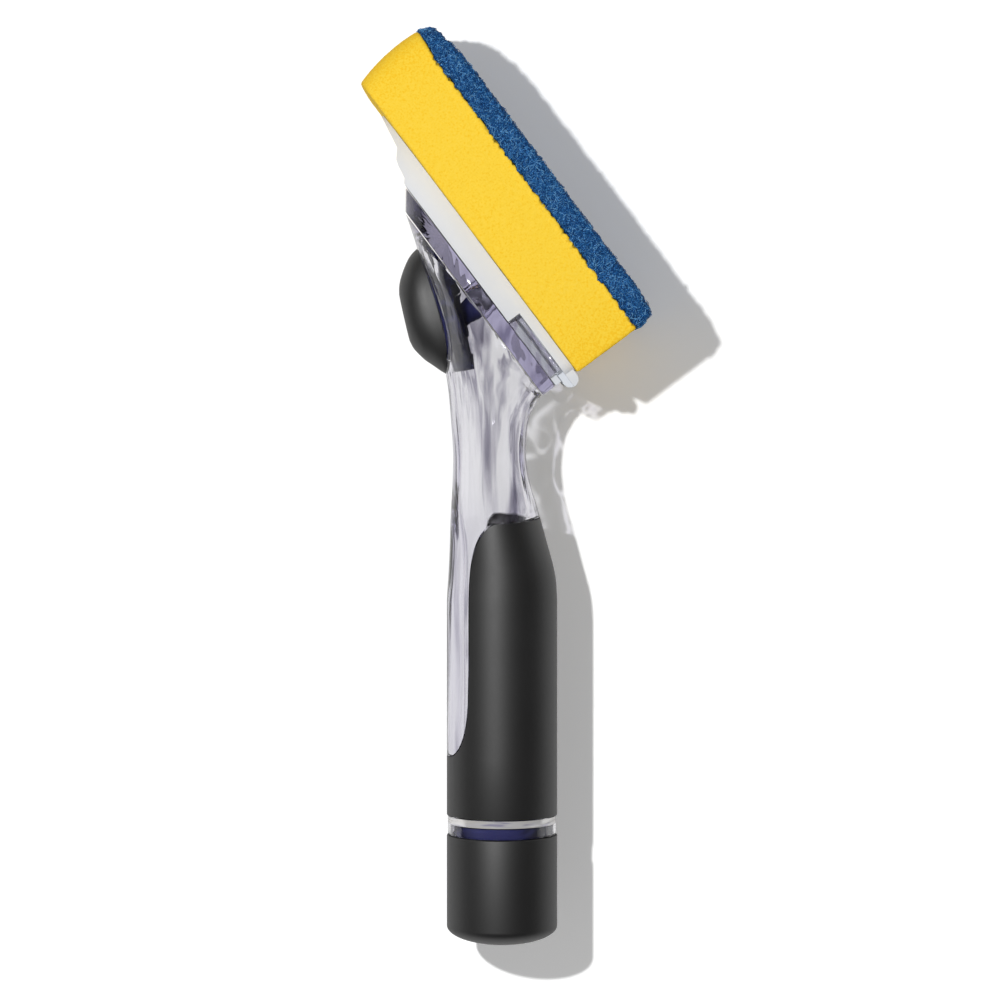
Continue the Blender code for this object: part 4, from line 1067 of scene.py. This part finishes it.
def new_tree(name, **inputs):
    """A tree with named inputs and their values, and what those inputs give inside it."""
    tree = bpy.data.node_groups.new(name, "GeometryNodeTree")
    add_socket = tree.interface.new_socket
    add_socket("Geometry", in_out="INPUT", socket_type="NodeSocketGeometry")
    for label, value in inputs.items():
        kind = SOCKET_KINDS[type(value)]
        add_socket(label.replace("_", " "), in_out="INPUT", socket_type=kind).default_value = value
    add_socket("Material", in_out="INPUT", socket_type="NodeSocketMaterial")
    add_socket("Geometry", in_out="OUTPUT", socket_type="NodeSocketGeometry")
    return tree, tree.nodes.new("NodeGroupInput").outputs


def end_tree(tree, given, source):
    """Ends a tree in Realize Instances and Set Material."""
    real = add_node(tree, "GeometryNodeRealizeInstances", {"Geometry": source})
    sockets = {"Geometry": real, "Material": given["Material"]}
    painted = add_node(tree, "GeometryNodeSetMaterial", sockets)
    add_node(tree, "NodeGroupOutput", {"Geometry": painted})
    return tree


def grow(made, tree, **values):
    """Runs a tree on a piece and keeps the result as its plain mesh."""
    modifier = made.modifiers.new(tree.name, "NODES")
    modifier.node_group = tree
    items = tree.interface.items_tree
    sockets = {item.name: item.identifier for item in items if item.in_out == "INPUT"}
    for label, value in values.items():
        modifier[sockets[label.replace("_", " ")]] = value
    return finished(made)


def coil_tree():
    """A round wire wound on a cylinder, standing on the origin's plane."""
    tree, given = new_tree(
        "wound wire", Turns=4.0, Coil_Radius=0.01, Height=0.01, Wire_Radius=0.001, Points=32
    )
    radius = given["Coil Radius"]
    sockets = {
        "Resolution": given["Points"],
        "Rotations": given["Turns"],
        "Start Radius": radius,
        "End Radius": radius,
        "Height": given["Height"],
    }
    spiral = add_node(tree, "GeometryNodeCurveSpiral", sockets)
    sockets = {"Resolution": SPRING_WIRE_SIDES, "Radius": given["Wire Radius"]}
    section = add_node(tree, "GeometryNodeCurvePrimitiveCircle", sockets)
    sockets = {"Curve": spiral, "Profile Curve": section, "Fill Caps": True}
    return end_tree(tree, given, add_node(tree, "GeometryNodeCurveToMesh", sockets))


def turned_tree():
    """The piece's own points, in their order, as a profile in x and z turned round the z axis."""
    tree, given = new_tree("turned form", Sides=96, Weld=WELD)
    own_points = {"Geometry": given["Geometry"]}
    counted = add_node(tree, "GeometryNodeAttributeDomainSize", own_points, component="MESH")
    size = counted.outputs["Point Count"]
    last = calculate(tree, "SUBTRACT", size, 1.0)
    columns = calculate(tree, "ADD", given["Sides"], 1.0)
    sockets = {"Size X": last, "Size Y": 1.0, "Vertices X": size, "Vertices Y": columns}
    sheet = add_node(tree, "GeometryNodeMeshGrid", sockets)
    where = add_node(tree, "GeometryNodeInputPosition")
    parted = add_node(tree, "ShaderNodeSeparateXYZ", {"Vector": where}).outputs
    point = calculate(tree, "MULTIPLY_ADD", last, 0.5, parted["X"])
    sockets = {**own_points, "Value": where, "Index": calculate(tree, "ROUND", point)}
    settings = {"data_type": "FLOAT_VECTOR", "domain": "POINT"}
    profile = add_node(tree, "GeometryNodeSampleIndex", sockets, **settings).outputs["Value"]
    turn = calculate(tree, "MULTIPLY", parted["Y"], -2 * math.pi)
    sockets = {"Vector": profile, "Angle": turn}
    turned = add_node(tree, "ShaderNodeVectorRotate", sockets, rotation_type="Z_AXIS")
    placed = add_node(tree, "GeometryNodeSetPosition", {"Geometry": sheet, "Position": turned})
    sockets = {"Geometry": placed, "Distance": given["Weld"]}
    return end_tree(tree, given, add_node(tree, "GeometryNodeMergeByDistance", sockets))


def pore_tree():
    """Pits of random size over a skin, pushed in along its normals, on a gentle swell."""
    tree, given = new_tree(
        "open pores", Pores_To_The_Metre=500.0, Depth=0.0002, Swell=0.0002, Swells_To_The_Metre=60.0
    )
    where = add_node(tree, "GeometryNodeInputPosition")
    sizes = {"Vector": where, "Scale": given["Pores To The Metre"], "Randomness": 1.0}
    pits = add_node(tree, "ShaderNodeTexVoronoi", sizes)
    sizes = {"Vector": where, "Scale": given["Swells To The Metre"], "Detail": 2.0}
    waves = add_node(tree, "ShaderNodeTexNoise", sizes)
    sunk = calculate(tree, "SUBTRACT", pits, PIT_MIDDLE)
    deep = calculate(tree, "MULTIPLY", sunk, given["Depth"])
    centred = calculate(tree, "SUBTRACT", waves, 0.5)
    swelled = calculate(tree, "MULTIPLY", centred, given["Swell"])
    normal = add_node(tree, "GeometryNodeInputNormal")
    push = calculate_vector(tree, "SCALE", normal, calculate(tree, "ADD", deep, swelled))
    sockets = {"Geometry": given["Geometry"], "Offset": push}
    return end_tree(tree, given, add_node(tree, "GeometryNodeSetPosition", sockets))


def strand_density(tree, given):
    """No strands where the pad is glued on, plain density on its face, and more at its edges."""
    normal = add_node(tree, "GeometryNodeInputNormal")
    outward = calculate_vector(tree, "DOT_PRODUCT", normal, given["Face Direction"])
    free = calculate(tree, "GREATER_THAN", outward, -EDGE_TURN)
    edge = calculate(tree, "LESS_THAN", outward, EDGE_TURN)
    choices = {"Switch": edge, "False": 1.0, "True": given["Edge Share"]}
    more = add_node(tree, "GeometryNodeSwitch", choices, input_type="FLOAT").outputs["Output"]
    part = calculate(tree, "MULTIPLY", more, free)
    return calculate(tree, "MULTIPLY", part, given["Strands To The Square Metre"])


def curled_strand(tree, given):
    """One bent strand of length 1, with the thickness of a strand of the asked length and radius."""
    points = {"Start": (-0.5, 0, -0.12), "Middle": (0.05, 0.25, 0.5), "End": (0.5, -0.1, -0.1)}
    bend = add_node(tree, "GeometryNodeCurveQuadraticBezier", {"Resolution": 2, **points})
    thin = calculate(tree, "DIVIDE", given["Strand Radius"], given["Strand Length"])
    sockets = {"Resolution": 3, "Radius": thin}
    section = add_node(tree, "GeometryNodeCurvePrimitiveCircle", sockets)
    return add_node(tree, "GeometryNodeCurveToMesh", {"Curve": bend, "Profile Curve": section})


def strand_tree():
    """Short curled strands scattered over a skin, each with a shade of its own."""
    tree, given = new_tree(
        "curled strands",
        Strands_To_The_Square_Metre=500000.0,
        Edge_Share=2.0,
        Face_Direction=(0.0, 0.0, 1.0),
        Strand_Length=0.002,
        Strand_Radius=0.0001,
        Seed=STRAND_SEED,
    )
    skin, seed, lean = given["Geometry"], given["Seed"], STRAND_LEAN
    sockets = {"Mesh": skin, "Density": strand_density(tree, given), "Seed": seed}
    points = add_node(tree, "GeometryNodeDistributePointsOnFaces", sockets).outputs
    ends = {0: (-lean, -lean, 0.0), 1: (lean, lean, 2 * math.pi), "Seed": seed}
    spin = add_node(tree, "FunctionNodeRandomValue", ends, data_type="FLOAT_VECTOR")
    as_turn = add_node(tree, "FunctionNodeEulerToRotation", {"Euler": spin.outputs["Value"]})
    sockets = {"Rotation": points["Rotation"], "Rotate By": as_turn}
    turned = add_node(tree, "FunctionNodeRotateRotation", sockets, rotation_space="LOCAL")
    ends = {2: STRAND_SHARES[0], 3: STRAND_SHARES[1], "Seed": seed}
    share = add_node(tree, "FunctionNodeRandomValue", ends, data_type="FLOAT").outputs[1]
    sockets = {
        "Points": points["Points"],
        "Instance": curled_strand(tree, given),
        "Rotation": turned,
        "Scale": calculate(tree, "MULTIPLY", share, given["Strand Length"]),
    }
    strands = add_node(tree, "GeometryNodeInstanceOnPoints", sockets)
    shades = add_node(tree, "FunctionNodeRandomValue", {"Seed": STRAND_SHADE_SEED}, data_type="FLOAT")
    sockets = {"Name": "strand_shade", "Geometry": strands, "Value": shades.outputs[1]}
    settings = {"data_type": "FLOAT", "domain": "INSTANCE"}
    named = add_node(tree, "GeometryNodeStoreNamedAttribute", sockets, **settings)
    both = add_node(tree, "GeometryNodeJoinGeometry", {"Geometry": named})
    feed(tree, skin, both.inputs["Geometry"])
    return end_tree(tree, given, both)


# ---------------------------------------------------------------- sponge and pad


def sponge_outline():
    """A straight heel, full sides, round toe corners and a bowed toe."""
    heel = -SPONGE_HEEL_INSET
    toe = heel + SPONGE_LENGTH
    radius = SPONGE_CORNER_RADIUS
    side_end = toe - radius
    side = []
    for k in range(SPONGE_STEPS + 1):
        share = k / SPONGE_STEPS
        bow = (SPONGE_HALF_WIDTH - SPONGE_HEEL_HALF_WIDTH) * (1 - (2 * share - 1) ** 2)
        side.append((SPONGE_HEEL_HALF_WIDTH + bow, heel + share * (side_end - heel)))
    half_toe = SPONGE_HEEL_HALF_WIDTH - radius
    corner = arc((half_toe, side_end), radius, 0, math.pi / 2, SPONGE_STEPS)
    front = []
    for k in range(1, SPONGE_STEPS):
        across = half_toe * (1 - 2 * k / SPONGE_STEPS)
        front.append((across, toe + SPONGE_TOE_RISE * (1 - (across / half_toe) ** 2)))
    right = [*side, *corner[1:]]
    left = [(-x, y) for x, y in right[::-1]]
    return [*right, *front, *left]


def soft_block(name, low, high, edge, voxel):
    """The sponge's outline from low to high, cut level with the table, with soft edges."""
    slab = prism(name, sponge_outline(), low, high, head_place)
    far = 2 * SPONGE_LENGTH
    carve(slab, [prism("table_side", rectangle(-far, -far, far, far), -far, 0, Matrix.Identity(4))])
    round_edges(slab, edge, 3, 40)
    skin = slab.modifiers.new("even skin", "REMESH")
    skin.mode = "VOXEL"
    skin.voxel_size = voxel
    skin.use_smooth_shade = True
    return finished(slab)


def settle(made):
    """Bows the toe's end outwards, draws the pad in at its corners, and laps its edge on the foam."""
    to_head = head_place.inverted()
    for vertex in made.data.vertices:
        place = to_head @ vertex.co
        toe = smooth_share(place.y, TOE_START_SHARE * SPONGE_LENGTH, SPONGE_LENGTH)
        toe_end = smooth_share(place.y, TOE_END_SHARE * SPONGE_LENGTH, SPONGE_LENGTH)
        heel = 1 - smooth_share(place.y, -SPONGE_HEEL_INSET, SPONGE_CORNER_RADIUS)
        out = clipped((place.z - SPONGE_NEAR) / (SPONGE_FAR - SPONGE_NEAR))
        pad_out = max(0, (place.z - SPONGE_FAR) / (PAD_FAR - SPONGE_FAR))
        place.y += toe * (TOE_SLANT * out * (1 - pad_out) + 4 * TOE_BOW * out * (1 - out))
        place.y += heel * HEEL_DRAW * pad_out**2
        place.z -= pad_out * (TOE_PINCH * toe_end + HEEL_PINCH * heel)
        place.z += TOE_SHIFT * toe_end * out * (1 - pad_out)
        if place.z > PAD_NEAR - LAP_DEPTH and vertex.co.z > 2 * LAP_DEPTH:
            ragged = noise.noise(place * LAPS_TO_THE_METRE)
            ragged += noise.noise(place * 3 * LAPS_TO_THE_METRE) / 2
            side_end = SPONGE_HEEL_HALF_WIDTH
            side = smooth_share(abs(place.x), side_end - LAP_DEPTH, side_end)
            place.z -= LAP_DEPTH * max(0, ragged + LAP_SHARE) * (1 - pad_out) * side
            place.x += math.copysign(LAP_RISE, place.x) * (1 - pad_out) * side
        vertex.co = head_place @ place


def soften(made, node):
    """Smooth shading for a foam or fibre piece, which then stands in for its CAD node."""
    made.data.shade_smooth()
    return dress(made, node)


def make_sponge():
    sponge = soft_block("foam_sponge", SPONGE_NEAR, SPONGE_FAR, SPONGE_EDGE, SPONGE_VOXEL)
    settle(sponge)
    pores = {"Pores_To_The_Metre": 800.0, "Depth": 0.00016, "Swell": 0.0003}
    grow(sponge, pore_tree(), **pores, Material=yellow_foam)
    return soften(sponge, "sponge")


def make_pad():
    pad = soft_block("scouring_fibre_pad", PAD_NEAR, PAD_FAR, PAD_EDGE, PAD_VOXEL)
    settle(pad)
    grow(
        pad,
        pore_tree(),
        Pores_To_The_Metre=900.0,
        Depth=0.0008,
        Swell=0.0016,
        Swells_To_The_Metre=420.0,
        Material=blue_fibre,
    )
    grow(
        pad,
        strand_tree(),
        Strands_To_The_Square_Metre=620000.0,
        Edge_Share=6.0,
        Face_Direction=head_place.to_3x3() @ Vector((0, 0, 1)),
        Strand_Length=0.0017,
        Strand_Radius=0.00008,
        Seed=STRAND_SEED,
        Material=blue_fibre,
    )
    return soften(pad, "scouring_pad")


# ---------------------------------------------------------------- cap and spring


def make_cap_cover():
    """A round cup with a low dome for its foot, turned from its profile."""
    foot_rise = CAP_DOME_HEIGHT + CAP_EDGE_RADIUS
    inner = HANDLE_RADIUS - CAP_WALL
    inner_edge = HANDLE_RADIUS - CAP_EDGE_RADIUS
    foot = arc((0, 0), 1, -math.pi / 2, 0, CAP_FOOT_STEPS)
    rim_center = (HANDLE_RADIUS - CAP_RIM_CHAMFER, CAP_LENGTH - CAP_RIM_CHAMFER)
    profile = [
        *[(HANDLE_RADIUS * x, foot_rise * (1 + z)) for x, z in foot],
        *arc(rim_center, CAP_RIM_CHAMFER, 0, math.pi / 2, CAP_RIM_STEPS),
        (inner, CAP_LENGTH),
        (inner, foot_rise + CAP_WALL),
        (inner_edge, CAP_FLOOR + CAP_DOME_HEIGHT),
        (0, CAP_FLOOR),
    ]
    mesh = bpy.data.meshes.new("turned_cap")
    mesh.from_pydata([(x, 0, z) for x, z in profile], [], [])
    cap = new_object("turned_cap", mesh)
    grow(cap, turned_tree(), Sides=CAP_SIDES, Material=black_soft)
    cap.data.transform(handle_place)
    return dress(shade(cap), "cap_cover")


def make_spring():
    low = -CUP_FLOOR_DEPTH + FIT_GAP + SPRING_WIRE_RADIUS
    high = CORE_PLATE_HEIGHT - FIT_GAP - SPRING_WIRE_RADIUS
    spring = new_object("coil_spring", bpy.data.meshes.new("coil_spring"))
    grow(
        spring,
        coil_tree(),
        Turns=SPRING_TURNS,
        Coil_Radius=SPRING_RADIUS,
        Height=high - low,
        Wire_Radius=SPRING_WIRE_RADIUS,
        Points=SPRING_POINTS,
        Material=spring_steel,
    )
    spring.data.transform(pump_place @ Matrix.Translation((0, 0, low)))
    spring.data.shade_smooth()
    dress(spring, "return_spring")
    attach(spring, "handle")
    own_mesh(spring)
    return spring


make_clear_body()
make_head_plate()
make_grip()
make_button()
make_spring()
make_cap_cover()
make_sponge()
make_pad()
for node, width in SOFTENED_EDGES.items():
    dress(softened(node, width), node)
for node in PLAIN_NODES:
    for slot in cad_nodes[node].material_slots:
        slot.material = SLOTS[node_slots[node]]


# ---------------------------------------------------------------- stage

CAMERA_HEIGHT = 1.05
CAMERA_X, CAMERA_Y = -0.00193, 0.03692
CAMERA_SHIFT = -0.141
CAMERA_REACH = 20.0
VIEW_HALF_WIDTH = 0.145

KEY_PLACE = Vector((-0.200, 0.133, 0.700))
KEY_RADIUS = 0.009
KEY_SHARE = 0.68
FILL_SHARE = 0.22
SHADE = 0.21

# The studio in reflections: its grey by height, the lamp's softbox, and its share in clear pieces.
STUDIO_GREYS = ((0.0, 0.60), (0.45, 0.60), (0.75, 0.30), (1.0, 0.25))
SOFTBOX_EDGE, SOFTBOX_CORE = 0.975, 0.985
SOFTBOX_STRENGTH = 2.5
OUTER_STUDIO = 0.08
INNER_GLOSS = 0.5

FLOOR_HALF_SIZE = 3.0
FLOOR_DROP = 0.0001
FLOOR_LIMIT = 3.0
FLOOR_IN_MIRRORS = 0.75
FLOOR_UNDER_PIECES = 0.85
FLOOR_GLOW_THROUGH = 0.85

WHITE = (1.0, 1.0, 1.0, 1.0)


def grey(value):
    return (value, value, value, 1.0)


def background(tree, color, strength):
    return add_node(tree, "ShaderNodeBackground", {"Color": color, "Strength": strength})


def diffuse(tree, color):
    return add_node(tree, "ShaderNodeBsdfDiffuse", {"Color": color})


def make_camera():
    data = bpy.data.cameras.new("camera")
    data.sensor_fit = "HORIZONTAL"
    data.angle = 2 * math.atan(VIEW_HALF_WIDTH / CAMERA_HEIGHT)
    data.shift_y = CAMERA_SHIFT
    data.clip_end = CAMERA_REACH
    camera = new_object("camera", data)
    camera.location = (CAMERA_X, CAMERA_Y, handle_origin.z + CAMERA_HEIGHT)
    bpy.context.scene.camera = camera


def make_world():
    """White to the camera, plain shade to surfaces, and a studio, dark above, in reflections."""
    world = bpy.data.worlds.new("studio")
    bpy.context.scene.world = world
    world.use_nodes = True
    tree = world.node_tree
    tree.nodes.clear()
    path = add_node(tree, "ShaderNodeLightPath").outputs
    direction = add_node(tree, "ShaderNodeTexCoord").outputs["Generated"]
    level = add_node(tree, "ShaderNodeSeparateXYZ", {"Vector": direction}).outputs["Z"]
    studio = ramp(tree, level, [(place, grey(value)[:3]) for place, value in STUDIO_GREYS])
    toward_key = calculate_vector(tree, "DOT_PRODUCT", direction, KEY_PLACE.normalized())
    softbox_ends = {"From_Min": SOFTBOX_EDGE, "From_Max": SOFTBOX_CORE, "To_Max": SOFTBOX_STRENGTH}
    softbox = spanned(tree, toward_key, **softbox_ends)
    through = calculate(tree, "GREATER_THAN", path["Transmission Depth"], 0.5)
    dimmed = spanned(tree, through, To_Min=OUTER_STUDIO, To_Max=1.0)
    inner = calculate(tree, "MULTIPLY", path["Glossy Depth"], path["Transmission Depth"])
    calmed = spanned(tree, inner, To_Min=1.0, To_Max=INNER_GLOSS)
    strength = calculate(tree, "MULTIPLY", dimmed, calmed)
    mirrored = background(tree, calculate(tree, "ADD", studio, softbox), strength)
    surfaces = calculate(tree, "GREATER_THAN", path["Diffuse Depth"], 0.5)
    lit = mixed_shader(tree, surfaces, mirrored, background(tree, WHITE, SHADE))
    seen = mixed_shader(tree, path["Is Camera Ray"], lit, background(tree, WHITE, 1.0))
    add_node(tree, "ShaderNodeOutputWorld", {"Surface": seen})


def make_key():
    """A small lamp up on the left, as even as a far one."""
    data = bpy.data.lights.new("key", "POINT")
    data.shadow_soft_size = KEY_RADIUS
    data.energy = KEY_SHARE * math.pi * 4 * math.pi
    data.use_nodes = True
    tree = data.node_tree
    even = add_node(tree, "ShaderNodeLightFalloff", {"Strength": 1.0}).outputs["Constant"]
    feed(tree, even, tree.nodes["Emission"].inputs["Strength"])
    key = new_object("key", data)
    key.location = KEY_PLACE
    key.visible_transmission = False


def make_fill():
    """An even light from above that keeps the floor's shadow flat, and isn't seen in reflections."""
    data = bpy.data.lights.new("fill", "SUN")
    data.energy = FILL_SHARE * math.pi
    fill = new_object("fill", data)
    fill.visible_glossy = False
    fill.visible_transmission = False


def make_floor():
    """A plain pale floor, white out to its edges, with the lamp's slant made up in its colour."""
    size = FLOOR_HALF_SIZE
    mesh = bpy.data.meshes.new("floor")
    mesh.from_pydata([(x, y, 0) for x, y in rectangle(-size, -size, size, size)], [], [(0, 1, 2, 3)])
    floor = new_object("floor", mesh)
    floor.location.z = -FLOOR_DROP
    made = bpy.data.materials.new("pale floor")
    made.use_nodes = True
    tree = made.node_tree
    tree.nodes.clear()
    path = add_node(tree, "ShaderNodeLightPath").outputs
    from_key = calculate_vector(tree, "DISTANCE", own_place(made), KEY_PLACE)
    slant = calculate(tree, "DIVIDE", from_key, KEY_PLACE.z)
    limited = calculate(tree, "MINIMUM", slant, FLOOR_LIMIT)
    evened = add_node(tree, "ShaderNodeCombineXYZ", dict.fromkeys(range(3), limited))
    in_mirrors = diffuse(tree, grey(FLOOR_IN_MIRRORS))
    mirrored = mixed_shader(tree, path["Is Glossy Ray"], diffuse(tree, evened), in_mirrors)
    glow = add_node(tree, "ShaderNodeEmission", {"Color": WHITE, "Strength": 1.0})
    calmed = spanned(tree, path["Glossy Depth"], To_Min=1.0, To_Max=INNER_GLOSS)
    passed = calculate(tree, "MULTIPLY", path["Is Transmission Ray"], calmed)
    through = calculate(tree, "MULTIPLY", passed, FLOOR_GLOW_THROUGH)
    seen = mixed_shader(tree, through, mirrored, glow)
    surfaces = calculate(tree, "GREATER_THAN", path["Diffuse Depth"], 0.5)
    whole = mixed_shader(tree, surfaces, seen, diffuse(tree, grey(FLOOR_UNDER_PIECES)))
    add_node(tree, "ShaderNodeOutputMaterial", {"Surface": whole})
    mesh.materials.append(made)


make_camera()
make_world()
make_key()
make_fill()
make_floor()
bpy.context.scene.view_settings.view_transform = "Standard"
paths = bpy.context.scene.cycles
paths.max_bounces = 24
paths.glossy_bounces = 12
paths.transmission_bounces = 20
paths.caustics_refractive = False
paths.caustics_reflective = False
